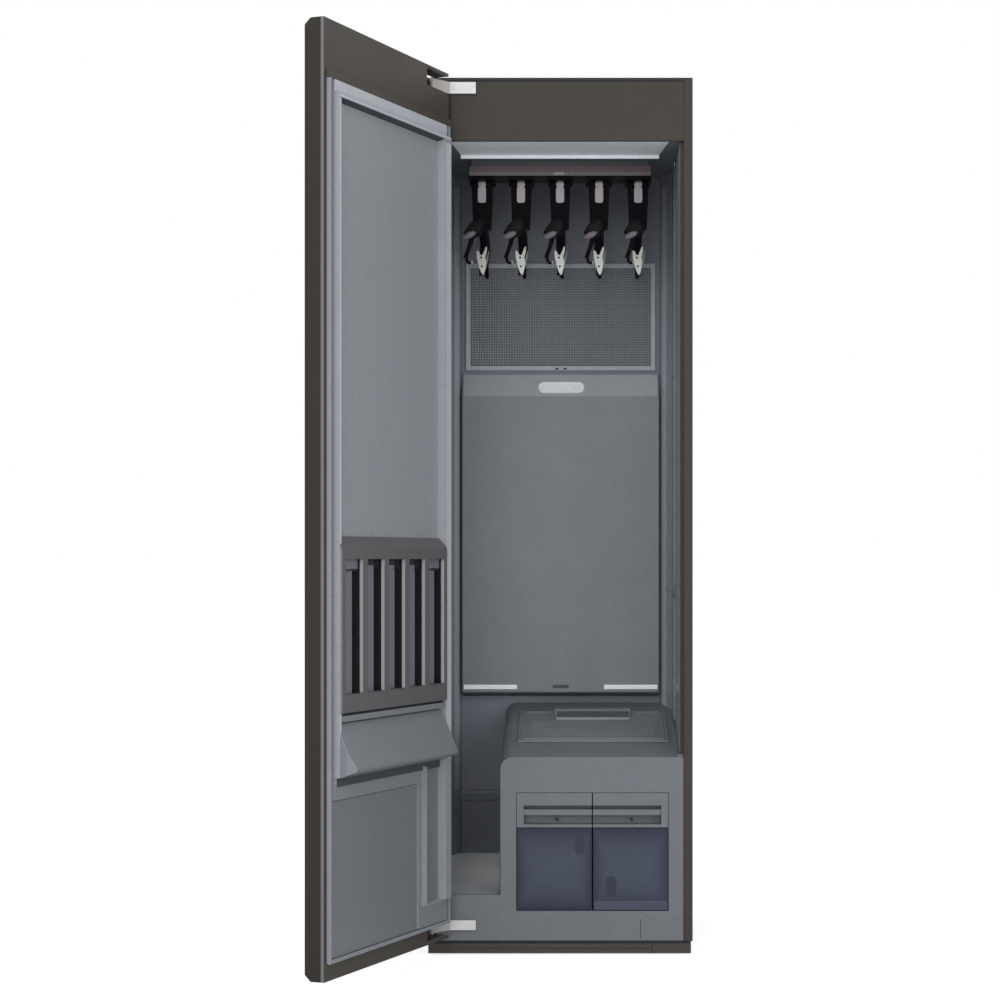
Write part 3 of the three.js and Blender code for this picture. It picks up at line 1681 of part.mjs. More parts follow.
// The origin is on the floor under the middle of the space that the cabinet and its open door take up.
const cabinet = buildCabinet();
const extent = new THREE.Box3().setFromObject(cabinet, true);
const centre = extent.getCenter(new THREE.Vector3());
cabinet.position.set(-centre.x, -centre.y, -extent.min.z);
const group = new THREE.Group();
group.add(cabinet);

export default group;
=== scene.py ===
"""Dressed model of an open clothes care steam cabinet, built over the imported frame.

Sizes are in millimetres in the cabinet's own frame: X 0 at its middle, Y 0 at its front plane, Z 0 at the floor.
The door's pieces are drawn in its shut position in the same frame, and its matrix swings them open.
"""

import json
import logging
import math
from dataclasses import dataclass
from enum import Enum
from typing import Any, Iterable, Sequence

import bmesh
import bpy
from mathutils import Matrix, Vector

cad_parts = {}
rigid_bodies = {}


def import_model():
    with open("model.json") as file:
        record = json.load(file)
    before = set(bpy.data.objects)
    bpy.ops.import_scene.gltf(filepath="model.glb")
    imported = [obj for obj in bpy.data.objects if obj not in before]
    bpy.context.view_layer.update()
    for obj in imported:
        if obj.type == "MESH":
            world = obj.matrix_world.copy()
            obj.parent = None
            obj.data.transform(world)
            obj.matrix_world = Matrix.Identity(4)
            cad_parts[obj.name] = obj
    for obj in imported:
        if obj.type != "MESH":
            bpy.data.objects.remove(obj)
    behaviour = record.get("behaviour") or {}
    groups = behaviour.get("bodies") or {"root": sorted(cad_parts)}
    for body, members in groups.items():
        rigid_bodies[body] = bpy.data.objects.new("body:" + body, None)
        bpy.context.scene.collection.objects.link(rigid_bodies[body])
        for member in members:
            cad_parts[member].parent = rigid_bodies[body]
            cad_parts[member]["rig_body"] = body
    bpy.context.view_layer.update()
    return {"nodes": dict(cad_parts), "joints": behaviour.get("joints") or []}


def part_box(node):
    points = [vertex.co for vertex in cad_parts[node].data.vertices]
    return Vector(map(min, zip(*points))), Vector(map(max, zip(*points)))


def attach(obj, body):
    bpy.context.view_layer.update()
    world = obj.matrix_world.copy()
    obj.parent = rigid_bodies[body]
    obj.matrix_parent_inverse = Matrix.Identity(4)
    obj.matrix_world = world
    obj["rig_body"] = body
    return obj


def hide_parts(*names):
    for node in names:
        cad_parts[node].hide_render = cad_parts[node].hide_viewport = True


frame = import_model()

LOG = logging.getLogger("steam_cabinet")
MM = 0.001
MERGE = 2e-5
MERGE_MM = 0.002
FLAT = math.radians(0.8)
SHARP = math.radians(38)
ROUNDED_FROM = 30.0
COMB_PITCH = 4.4
PIT_SCALE = 420.0
SPECK_SCALE = 1800.0
BUMP_STRENGTH = 0.7
TONE_SPAN = (0.45, 1.05)
TONE_SHARES = (0.94, 1.06)
EDGE_COLOUR = (30, 32, 46)
EDGE_POWERS = ((0, 5.0), (2, 2.6))
TUBE_STEPS = 8
SOCKET_LOBES = 6

Point2 = tuple[float, float]
Point3 = tuple[float, float, float]
Span = tuple[float, float]
Block = tuple[Span, Span, Span]
Edges = tuple[tuple[Span, float, float], ...]
Profile = tuple[Point3, ...]
Colour = tuple[int, int, int]
Node = bpy.types.Node
Object = bpy.types.Object
Socket = bpy.types.NodeSocket
Tree = bpy.types.NodeTree


def cabinet_matrix() -> Matrix:
    """Place of the cabinet's own frame, from its two side panels: millimetres to the row frame in metres."""
    low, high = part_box("side_panel_left")[0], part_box("side_panel_right")[1]
    return Matrix.Translation(((low.x + high.x) / 2, low.y, 0)) @ Matrix.Scale(MM, 4)


def door_matrix() -> Matrix:
    """Place of the door's pieces, drawn shut and swung open about the door's joint.

    Returns:
        The matrix from cabinet millimetres, door shut, to the row frame in metres.
    """
    swing = next(joint for joint in frame["joints"] if joint["name"] == "door_swing")
    pivot = Matrix.Translation(Vector(swing["pos_m"]))
    opening = math.radians(swing["range_deg"][0])
    return pivot @ Matrix.Rotation(opening, 4, "Z") @ pivot.inverted() @ cabinet_matrix()


CABINET = cabinet_matrix()
DOOR = door_matrix()


class Axis(Enum):
    """The axis along which an outline is pushed, with the place of its two plane axes."""

    Y = (0, 2, 1)
    Z = (0, 1, 2)

    def at(self, point: Point2, along: float) -> Vector:
        """The point of the plane, that far along the axis."""
        out = [0.0, 0.0, 0.0]
        out[self.value[0]], out[self.value[1]], out[self.value[2]] = point[0], point[1], along
        return Vector(out)


class Texture(Enum):
    """How a finish breaks up its surface."""

    PLAIN = "plain"
    COMBED = "combed"
    CAST = "cast"
    RUBBER = "rubber"


class Sheet:
    """A node tree being laid out, with short ways to add and join its nodes."""

    def __init__(self, tree: Tree) -> None:
        """Args: tree, the tree to lay nodes in."""
        self.tree = tree

    def fill(self, node: Node, sockets: dict[Any, Any]) -> None:
        """Joins or sets a node's inputs.

        Args:
            node: The node.
            sockets: Input names or numbers, each with an output to join or a value to set.
        """
        for key, value in sockets.items():
            if isinstance(value, Socket):
                self.tree.links.new(value, node.inputs[key])
            else:
                node.inputs[key].default_value = value

    def add(self, kind: str, sockets: dict[Any, Any] | None = None, **settings: Any) -> Node:
        """Adds one node.

        Args:
            kind: The node's type name.
            sockets: What its inputs are given, as in fill.
            settings: The node's own settings.

        Returns:
            The new node.
        """
        node = self.tree.nodes.new(kind)
        for key, value in settings.items():
            setattr(node, key, value)
        self.fill(node, sockets or {})
        return node

    def out(self, kind: str, sockets: dict[Any, Any] | None = None, **settings: Any) -> Socket:
        """Adds one node as add does, and gives its first output."""
        return self.add(kind, sockets, **settings).outputs[0]

    def calc(self, rule: str, *values: Any) -> Socket:
        """Adds a Math node on values or sockets, and gives its output."""
        return self.out("ShaderNodeMath", dict(enumerate(values)), operation=rule)

    def ramp(self, value: Any, start: Span, end: Span) -> Socket:
        """Maps a value from one span to another, held at its ends."""
        return self.out("ShaderNodeMapRange", {0: value, 1: start[0], 2: start[1], 3: end[0], 4: end[1]})

    def noise(self, vector: Any, scale: Any, detail: float = 3.0, rough: float = 0.5) -> Socket:
        """Adds a noise texture read at the vector, and gives its value."""
        sockets = {"Vector": vector, "Scale": scale, "Detail": detail, "Roughness": rough}
        return self.out("ShaderNodeTexNoise", sockets)

    def tint(self, share: Any, first: Any, second: Any, blend: str = "MIX") -> Socket:
        """Mixes a share of the second colour into the first."""
        node = self.add("ShaderNodeMix", {0: share, 6: first, 7: second}, data_type="RGBA", blend_type=blend)
        return node.outputs[2]


def group_tree(name: str, kind: str, ins: dict[str, str], outs: dict[str, str]) -> tuple[Sheet, Any, Node]:
    """Starts a node group with named inputs and outputs.

    Args:
        name: Name of the group.
        kind: Its tree type.
        ins: Input names with their socket types.
        outs: Output names with their socket types.

    Returns:
        The sheet, the sockets that bring the inputs, and the node that takes the outputs.
    """
    tree = bpy.data.node_groups.new(name, kind)
    for direction, sockets in (("INPUT", ins), ("OUTPUT", outs)):
        for label, socket in sockets.items():
            tree.interface.new_socket(label, in_out=direction, socket_type=f"NodeSocket{socket}")
    sheet = Sheet(tree)
    return sheet, sheet.add("NodeGroupInput").outputs, sheet.add("NodeGroupOutput")


FILM_INS = {"Vector": "Vector", "Color": "Color", "Roughness": "Float", "Amount": "Float"}
FILM_OUTS = {"Color": "Color", "Roughness": "Float"}


def fine_grain() -> Tree:
    """Builds the group for fine relief: a height and a faint tone of the same grain.

    Returns:
        The node group.
    """
    ins, outs = {"Vector": "Vector", "Grain": "Float"}, {"Height": "Float", "Tone": "Float"}
    sheet, given, end = group_tree("fine_grain", "ShaderNodeTree", ins, outs)
    scale = sheet.calc("DIVIDE", 1.0, given["Grain"])
    fine = sheet.noise(given["Vector"], scale, 2.0, 0.55)
    broad = sheet.noise(given["Vector"], sheet.calc("MULTIPLY", scale, 0.13), 2.0)
    height = sheet.calc("MULTIPLY_ADD", broad, 0.4, fine)
    sheet.fill(end, {0: height, 1: sheet.calc("ADD", sheet.calc("MULTIPLY", fine, 0.5), broad)})
    return sheet.tree


def handling() -> Tree:
    """Builds the group for handling: faint cloudy change of colour and gloss, as from wiping and fingers.

    Returns:
        The node group.
    """
    sheet, given, end = group_tree("handling", "ShaderNodeTree", FILM_INS, FILM_OUTS)
    cloud = sheet.noise(given["Vector"], 3.1, 4.0, 0.6)
    streak = sheet.noise(given["Vector"], 14.0, 5.0, 0.65)
    mark = sheet.ramp(sheet.calc("MULTIPLY", cloud, streak), (0.12, 0.42), (-1.0, 1.0))
    shift = sheet.calc("MULTIPLY", mark, given["Amount"])
    bright = sheet.calc("ADD", 1.0, sheet.calc("MULTIPLY", shift, 0.07))
    value = sheet.out("ShaderNodeCombineColor", {0: bright, 1: bright, 2: bright})
    rough = sheet.calc("ADD", given["Roughness"], sheet.calc("MULTIPLY", shift, -0.12))
    sheet.fill(end, {0: sheet.tint(1.0, given["Color"], value, "MULTIPLY"), 1: rough})
    return sheet.tree


def settled_dust() -> Tree:
    """Builds the group for dust: a pale, dull film on faces that look up.

    Returns:
        The node group.
    """
    sheet, given, end = group_tree("settled_dust", "ShaderNodeTree", FILM_INS, FILM_OUTS)
    facing = sheet.add("ShaderNodeSeparateXYZ", {0: sheet.add("ShaderNodeNewGeometry").outputs["Normal"]})
    upward = sheet.ramp(facing.outputs[2], (0.35, 1.0), (0.0, 1.0))
    speck = sheet.ramp(sheet.noise(given["Vector"], 90.0, 4.0, 0.7), (0.35, 0.75), (0.35, 1.0))
    film = sheet.calc("MULTIPLY", sheet.calc("MULTIPLY", upward, speck), given["Amount"])
    rough = sheet.calc("ADD", given["Roughness"], sheet.calc("MULTIPLY", film, 0.5))
    pale = sheet.tint(film, given["Color"], (0.42, 0.41, 0.4, 1.0))
    sheet.fill(end, {0: pale, 1: sheet.calc("MINIMUM", rough, 1.0)})
    return sheet.tree


GRAIN = fine_grain()
HANDLING = handling()
DUST = settled_dust()


def linear(colour: Colour) -> tuple[float, float, float, float]:
    """Turns a screen colour, 0 to 255, into the linear one with alpha that shaders take."""
    parts = [c / 255 for c in colour]
    return (*(p / 12.92 if p <= 0.04045 else ((p + 0.055) / 1.055) ** 2.4 for p in parts), 1.0)


@dataclass(frozen=True)
class Finish:
    """One finish: colour, gloss and the texture that breaks it up. Grain is in millimetres, relief too."""

    name: str
    slot: str
    colour: Colour
    roughness: float
    metallic: float = 0.0
    grain: float = 1.2
    relief: float = 0.05
    texture: Texture = Texture.PLAIN
    handled: float = 0.4
    dust: float = 0.06
    glow: float = 0.0
    gloss: float = 0.5

    def material(self) -> bpy.types.Material:
        """Builds the finish's material once, and gives the same one after that.

        Returns:
            The material.
        """
        label = f"{self.name}_finish"
        ready = bpy.data.materials.get(label)
        if ready:
            return ready
        made = bpy.data.materials.new(label)
        made.use_nodes = True
        sheet = Sheet(made.node_tree)
        where = sheet.add("ShaderNodeTexCoord").outputs["Object"]
        sockets = {"Vector": where, "Grain": self.grain * MM}
        grain = sheet.add("ShaderNodeGroup", sockets, node_tree=GRAIN).outputs
        base = self.base(sheet, where, sheet.ramp(grain["Tone"], TONE_SPAN, (0.0, 1.0)))
        sockets = {"Vector": where, "Color": base, "Roughness": self.roughness, "Amount": self.handled}
        worn = sheet.add("ShaderNodeGroup", sockets, node_tree=HANDLING).outputs
        sockets |= {"Color": worn[0], "Roughness": worn[1], "Amount": self.dust}
        dusty = sheet.add("ShaderNodeGroup", sockets, node_tree=DUST).outputs
        sockets = {"Height": self.height(sheet, where, grain["Height"])}
        sockets |= {"Distance": self.relief * MM, "Strength": BUMP_STRENGTH}
        look = {"Base Color": dusty[0], "Roughness": dusty[1], "Normal": sheet.out("ShaderNodeBump", sockets)}
        look |= {"Metallic": self.metallic, "Specular IOR Level": self.gloss}
        if self.glow:
            look |= {"Emission Color": base, "Emission Strength": self.glow}
        sheet.fill(made.node_tree.nodes["Principled BSDF"], look)
        return made

    def base(self, sheet: Sheet, where: Any, tone: Any) -> Any:
        """Adds the base colour, which the grain makes a little darker and lighter.

        Args:
            sheet: The material's tree.
            where: Object coordinates, not used by the plain finish.
            tone: The grain's tone.

        Returns:
            The colour's socket.
        """
        colour = linear(self.colour)[:3]
        dark, light = ((*(min(c * share, 1) for c in colour), 1.0) for share in TONE_SHARES)
        return sheet.tint(tone, dark, light)

    def height(self, sheet: Sheet, where: Any, grain: Any) -> Any:
        """Adds the height pattern of the finish's texture to its grain.

        Args:
            sheet: The material's tree.
            where: Object coordinates.
            grain: The grain's height.

        Returns:
            The height to bump with.
        """
        if self.texture is Texture.COMBED:
            level = sheet.add("ShaderNodeSeparateXYZ", {0: where}).outputs[2]
            wave = sheet.calc("SINE", sheet.calc("MULTIPLY", level, 2 * math.pi / (COMB_PITCH * MM)))
            return sheet.calc("MULTIPLY_ADD", wave, 0.8, grain)
        if self.texture is Texture.CAST:
            pits = sheet.out("ShaderNodeTexVoronoi", {"Vector": where, "Scale": PIT_SCALE})
            return sheet.calc("MULTIPLY_ADD", pits, 0.9, grain)
        if self.texture is Texture.RUBBER:
            return sheet.calc("MULTIPLY_ADD", sheet.noise(where, SPECK_SCALE, 1.0), 0.6, grain)
        return grain


@dataclass(frozen=True)
class Glazed(Finish):
    """A tinted wall whose colour is deeper towards the edges of a tank's front, where it is thicker."""

    node: str = "supply_tank"

    def base(self, sheet: Sheet, where: Any, tone: Any) -> Any:
        """Adds the base colour, deeper towards the edges. Args and result are those of the plain finish."""
        plain = super().base(sheet, where, tone)
        low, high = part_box(self.node)
        place = sheet.add("ShaderNodeSeparateXYZ", {0: where}).outputs
        depths = []
        for axis, power in EDGE_POWERS:
            share = sheet.ramp(place[axis], (low[axis], high[axis]), (-1.0, 1.0))
            depths.append(sheet.calc("POWER", sheet.calc("ABSOLUTE", share), power))
        depth = sheet.calc("MAXIMUM", *depths)
        return sheet.tint(sheet.calc("MULTIPLY", depth, 0.85), plain, linear(EDGE_COLOUR))


@dataclass(frozen=True)
class Banded(Finish):
    """A painted frame with a paler lip within a span of the shut door's depth, and a paler inner face past it. The
    frame's own colour, before the lip, is darkened as painted shade on the door's free edge.
    """

    band: Span = (-17.0, -10.4)
    band_colour: Colour = (104, 104, 108)
    face_colour: Colour = (66, 62, 57)

    def base(self, sheet: Sheet, where: Any, tone: Any) -> Any:
        """Adds the base colour with its band. Args and result are those of the plain finish."""
        plain = super().base(sheet, where, tone)
        row = DOOR.inverted()[1]
        along = sheet.add("ShaderNodeVectorMath", {0: where, 1: tuple(row[:3])}, operation="DOT_PRODUCT").outputs[1]
        depth = sheet.calc("ADD", along, row[3])
        inside = sheet.calc("COMPARE", depth, sum(self.band) / 2, (self.band[1] - self.band[0]) / 2)
        past = sheet.calc("GREATER_THAN", depth, self.band[1])
        side = sheet.tint(inside, plain, linear(self.band_colour))
        return sheet.tint(past, side, linear(self.face_colour))


@dataclass(frozen=True)
class PaintedLightFloor(Finish):
    """A floor plastic painted near white as painted light, where the floor lies in shade, and darker along its front
    edge as painted shade, where more light falls.
    """

    node: str = "dress_zone_tub"
    reach: float = 0.26
    front_shade_colour: Colour = (142, 145, 150)

    def base(self, sheet: Sheet, where: Any, tone: Any) -> Any:
        """Adds the base colour, darker at the front as painted shade. Args and result are those of the plain finish."""
        plain = super().base(sheet, where, tone)
        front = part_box(self.node)[0][1]
        depth = sheet.add("ShaderNodeSeparateXYZ", {0: where}).outputs[1]
        share = sheet.ramp(depth, (front, front + self.reach), (1.0, 0.0))
        return sheet.tint(share, plain, linear(self.front_shade_colour))


CABINET_STEEL = Finish("cabinet_steel", "body_steel", (60, 56, 52), 0.5, gloss=0.2)
# Painted shade: the door skin's paint is darkened as the shade on the door's free edge.
DOOR_SKIN_SHADE = Finish("door_skin_paint", "door_steel", (38, 35, 32), 0.5, gloss=0.15)
# Painted shade: the frame's colour is darkened on the door's free edge, with the paler lip and inner face past it.
DOOR_FRAME_PAINT_AND_SHADE = Banded("door_frame_paint", "door_steel", (46, 42, 39), 0.5, gloss=0.2)
ZINC = Finish("zinc_sheet", "galvanised", (150, 152, 153), 0.46, 0.75, 9.0, 0.02, handled=0.3)
DARK_PLASTIC = Finish("dark_plastic", "dark_plastic", (32, 30, 30), 0.5, gloss=0.25)
PLINTH = Finish("plinth_plastic", "dark_plastic", (68, 62, 59), 0.5, gloss=0.2)
LINER = Finish("liner_plastic", "liner_plastic", (108, 112, 121), 0.42)
# Painted light: paler copies of the liner plastic for the side walls, the back corners' strips and the hood next to the
# light bar.
LINER_WALL_LIT = Finish("liner_wall", "liner_plastic", (136, 140, 147), 0.42)
WALL_STRIP_LIT = Finish("wall_strip", "liner_plastic", (172, 175, 181), 0.42)
HOOD_LIT = Finish("hood_plastic", "liner_plastic", (228, 231, 235), 0.4)
BACKING = Finish("duct_grey", "dark_plastic", (110, 114, 120), 0.6, gloss=0.3)
COVER = Finish("cover_plastic", "cover_plastic", (121, 125, 130), 0.4, relief=0.12, texture=Texture.COMBED)
# Painted light: the cover plastic made paler on its sloping top, which faces up to the lamps.
COVER_SLOPE_LIT = Finish("cover_slope", "cover_plastic", (151, 155, 160), 0.4)
GRILLE = Finish("grille_plastic", "grille_plastic", (158, 162, 168), 0.42)
WEAVE_WIRE = Finish("grille_wire", "grille_plastic", (145, 149, 155), 0.42)
BADGE = Finish("badge_satin", "clip_chrome", (232, 234, 234), 0.3, 0.2, 2.0, 0.01)
BADGE_PLATE = Finish("badge_plate", "cover_plastic", (222, 225, 228), 0.4)
NOTCH = Finish("notch_shadow", "cover_plastic", (70, 74, 79), 0.5)
DIFFUSER = Finish("light_diffuser", "light_diffuser", (206, 214, 219), 0.4, glow=0.22)
RAIL = Finish("rail_band", "rail_plastic", (86, 74, 76), 0.42, gloss=0.25)
RAIL_EDGE = Finish("rail_lower_edge", "rail_plastic", (96, 94, 90), 0.42, gloss=0.25)
RAIL_TAB = Finish("rail_tab", "rail_plastic", (128, 128, 130), 0.42, gloss=0.25)
# Painted shade: the rail's body and the sheet over its band are dark as the shade between the rail and the ceiling.
PLENUM_SHADE = Finish("plenum_plastic", "rail_plastic", (68, 73, 75), 0.5, gloss=0.2)
RAIL_SHADE = Finish("rail_core", "rail_plastic", (44, 46, 49), 0.5, gloss=0.2)
HANGER = Finish("hanger_plastic", "hanger_plastic", (10, 6, 9), 0.4, gloss=0.06)
# Painted highlight: a paler pad where the glossy black shoulder tips catch the light.
HANGER_TIP_HIGHLIGHT = Finish("hanger_grip", "hanger_plastic", (98, 93, 98), 0.5, gloss=0.2)
LABEL = Finish("label_satin", "clip_chrome", (147, 142, 146), 0.38, 0.1, 1.0, 0.01)
CHROME = Finish("clip_chrome", "clip_chrome", (204, 207, 202), 0.36, 0.45, 2.0, 0.01)
CHROME_REAR = Finish("clip_steel", "clip_chrome", (128, 130, 126), 0.34, 0.5, 2.0, 0.01)
HINGE_ARM = Finish("hinge_steel", "clip_chrome", (176, 172, 170), 0.36, 0.35, 2.0, 0.01)
NICKEL = Finish("hinge_nickel", "clip_chrome", (208, 207, 206), 0.36, 0.35, 2.0, 0.01)
MACHINE = Finish("machine_plastic", "machine_plastic", (97, 101, 106), 0.4)
MACHINE_TOP = Finish("machine_top", "machine_plastic", (100, 104, 110), 0.4)
TANK_CAP = Finish("cap_plastic", "machine_plastic", (97, 101, 106), 0.4)
# Painted light: a near white floor that makes up for the tub's shade, turning darker at its front as painted shade.
TUB_FLOOR_PAINTED_LIGHT = PaintedLightFloor("tub_plastic", "machine_plastic", (250, 251, 252), 0.42)
TUB_SCREEN = Finish("tub_screen", "machine_plastic", (94, 98, 104), 0.5)
FILTER = Finish("filter_plastic", "machine_plastic", (112, 116, 121), 0.38)
FILTER_RIDGE = Finish("filter_ridge", "machine_plastic", (118, 122, 127), 0.36)
# Painted highlight: a pale bar where the filter's handle catches the light.
HANDLE_HIGHLIGHT = Finish("handle_plastic", "machine_plastic", (142, 149, 152), 0.34)
RECESS_SHADE = Finish("recess_shade", "door_plastic", (62, 65, 71), 0.6, gloss=0.2)
# Dark seams and joints; the same finish serves as painted shadow in strips and gaps.
SEAM = Finish("seam_shadow", "dark_plastic", (40, 43, 48), 0.7, gloss=0.2)
# Painted shade for deep slots, the bars' roots and the clip's holes.
DEEP = Finish("deep_shadow", "dark_plastic", (29, 29, 35), 0.7, gloss=0.1)
TANK = Glazed("supply_tank_tinted", "tank_plastic", (62, 67, 82), 0.25, relief=0.01, gloss=0.25)
TANK_RIGHT = Glazed(
    "drain_tank_tinted", "tank_plastic", (62, 67, 82), 0.25, relief=0.01, gloss=0.25, node="drain_tank"
)
TANK_SHADE = Finish("tank_float", "tank_plastic", (50, 53, 68), 0.4, gloss=0.2)
TANK_STEP = Finish("tank_step", "tank_plastic", (66, 70, 84), 0.3, gloss=0.25)
DOOR_LINER = Finish("door_liner", "door_plastic", (132, 135, 140), 0.42)
# Painted shade: the door liner's plastic darkened on the lower panel, which gets less light.
DOOR_LOWER_SHADE = Finish("door_lower_liner", "door_plastic", (103, 106, 111), 0.42)
RACK = Finish("rack_plastic", "rack_plastic", (87, 85, 87), 0.4, gloss=0.3)
RACK_PANEL = Finish("rack_panel", "door_plastic", (98, 101, 108), 0.42)
# Painted highlight: pale copies of the rack plastic on the bars' front faces and the frame's free edge.
RACK_EDGE_HIGHLIGHT = Finish("rack_edge", "rack_plastic", (160, 156, 155), 0.4)
RACK_SIDE_HIGHLIGHT = Finish("rack_side", "rack_plastic", (118, 116, 117), 0.4)
# Painted light on the rim's faces and painted shade below the tray and in the column: copies of the door liner's
# plastic.
RIM_FACE_LIT = Finish("rim_face", "door_plastic", (170, 173, 180), 0.42)
LOWER_FACE_SHADE = Finish("lower_face", "door_plastic", (114, 117, 122), 0.42)
COLUMN_FLOOR_SHADE = Finish("column_floor", "door_plastic", (101, 104, 109), 0.42)
TRAY = Finish("tray_plastic", "door_plastic", (111, 114, 119), 0.4)
GASKET = Finish("gasket_rubber", "gasket_rubber", (126, 130, 136), 0.55, texture=Texture.RUBBER, gloss=0.3)
FOAM = Finish("foam_core", "foam", (196, 178, 128), 0.9, relief=0.4, texture=Texture.CAST)
IRON = Finish("compressor_iron", "compressor_iron", (24, 24, 26), 0.4)
ALUMINIUM = Finish("cast_aluminium", "cast_aluminium", (168, 170, 172), 0.45, 0.9, texture=Texture.CAST)
BOARD = Finish("board_resin", "board_resin", (38, 40, 42), 0.5)


def bake(piece: Object) -> None:
    """Turns a piece's modifiers into its own plain mesh.

    Args:
        piece: The piece to settle.
    """
    bpy.context.view_layer.update()
    graph = bpy.context.evaluated_depsgraph_get()
    mesh = bpy.data.meshes.new_from_object(piece.evaluated_get(graph))
    piece.modifiers.clear()
    old, piece.data = piece.data, mesh
    bpy.data.meshes.remove(old)
    mesh.name = piece.name


def weighted(piece: Object) -> None:
    """Smooths a piece's shading between its sharp edges, weighted by face area, and bakes that into its mesh.

    Args:
        piece: The piece to shade.
    """
    piece.data.polygons.foreach_set("use_smooth", [True] * len(piece.data.polygons))
    piece.data.set_sharp_from_angle(angle=SHARP)
    modifier = piece.modifiers.new("shading", "WEIGHTED_NORMAL")
    modifier.keep_sharp = True
    bake(piece)


def placed(name: str, mesh: bmesh.types.BMesh, finish: Finish) -> Object:
    """Turns a mesh into an object of the scene, and frees it.

    Args:
        name: Name of the object.
        mesh: Its mesh, in metres.
        finish: Its finish.

    Returns:
        The object, which no body carries yet.
    """
    data = bpy.data.meshes.new(name)
    mesh.to_mesh(data)
    mesh.free()
    data.materials.append(finish.material())
    made = bpy.data.objects.new(name, data)
    bpy.context.scene.collection.objects.link(made)
    return made


def settle(piece: Object, body: str, nodes: Sequence[str] = ()) -> None:
    """Hands a finished piece to the frame.

    Args:
        piece: The piece, in its place.
        body: The body that it rides on.
        nodes: The CAD nodes that it stands for.
    """
    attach(piece, body)
    if nodes:
        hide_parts(*nodes)


def dress(node: str, finish: Finish) -> None:
    """Gives a CAD node a finish.

    Args:
        node: Name of the node.
        finish: The finish to give it.
    """
    for slot in frame["nodes"][node].material_slots:
        slot.material = finish.material()
    LOG.info("dressed %s in %s", node, finish.name)


def rounded(node: str, finish: Finish, width: float, segments: int = 2) -> None:
    """Replaces a CAD node by a copy of it with rounded edges.

    Args:
        node: Name of the node.
        finish: The finish to give it.
        width: Width of the rounding in millimetres.
        segments: Steps across the rounding.
    """
    source = frame["nodes"][node]
    mesh = bmesh.new()
    mesh.from_mesh(source.data)
    bmesh.ops.remove_doubles(mesh, verts=mesh.verts, dist=MERGE)
    bmesh.ops.dissolve_limit(mesh, angle_limit=FLAT, verts=mesh.verts, edges=mesh.edges)
    soften(mesh, mesh.edges, width * MM, segments, ROUNDED_FROM)
    piece = placed(f"dressed_{node}", mesh, finish)
    weighted(piece)
    LOG.info("rounded %s, %d faces", node, len(piece.data.polygons))
    settle(piece, source["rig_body"], [node])


def soften(mesh: bmesh.types.BMesh, edges: Iterable[Any], width: float, segments: int, angle: float) -> None:
    """Rounds the sharp edges of a mesh.

    Args:
        mesh: The mesh.
        edges: The edges to look at.
        width: Width of the rounding in the mesh's own length.
        segments: Steps across the rounding.
        angle: Edges sharper than this, in degrees, are rounded.
    """
    limit = math.radians(angle)
    sharp = [e for e in edges if len(e.link_faces) == 2 and e.calc_face_angle(0.0) > limit]
    if sharp and width > 0:
        bmesh.ops.bevel(mesh, geom=sharp, offset=width, offset_type="OFFSET", segments=segments, profile=0.5,
                        affect="EDGES", clamp_overlap=True)


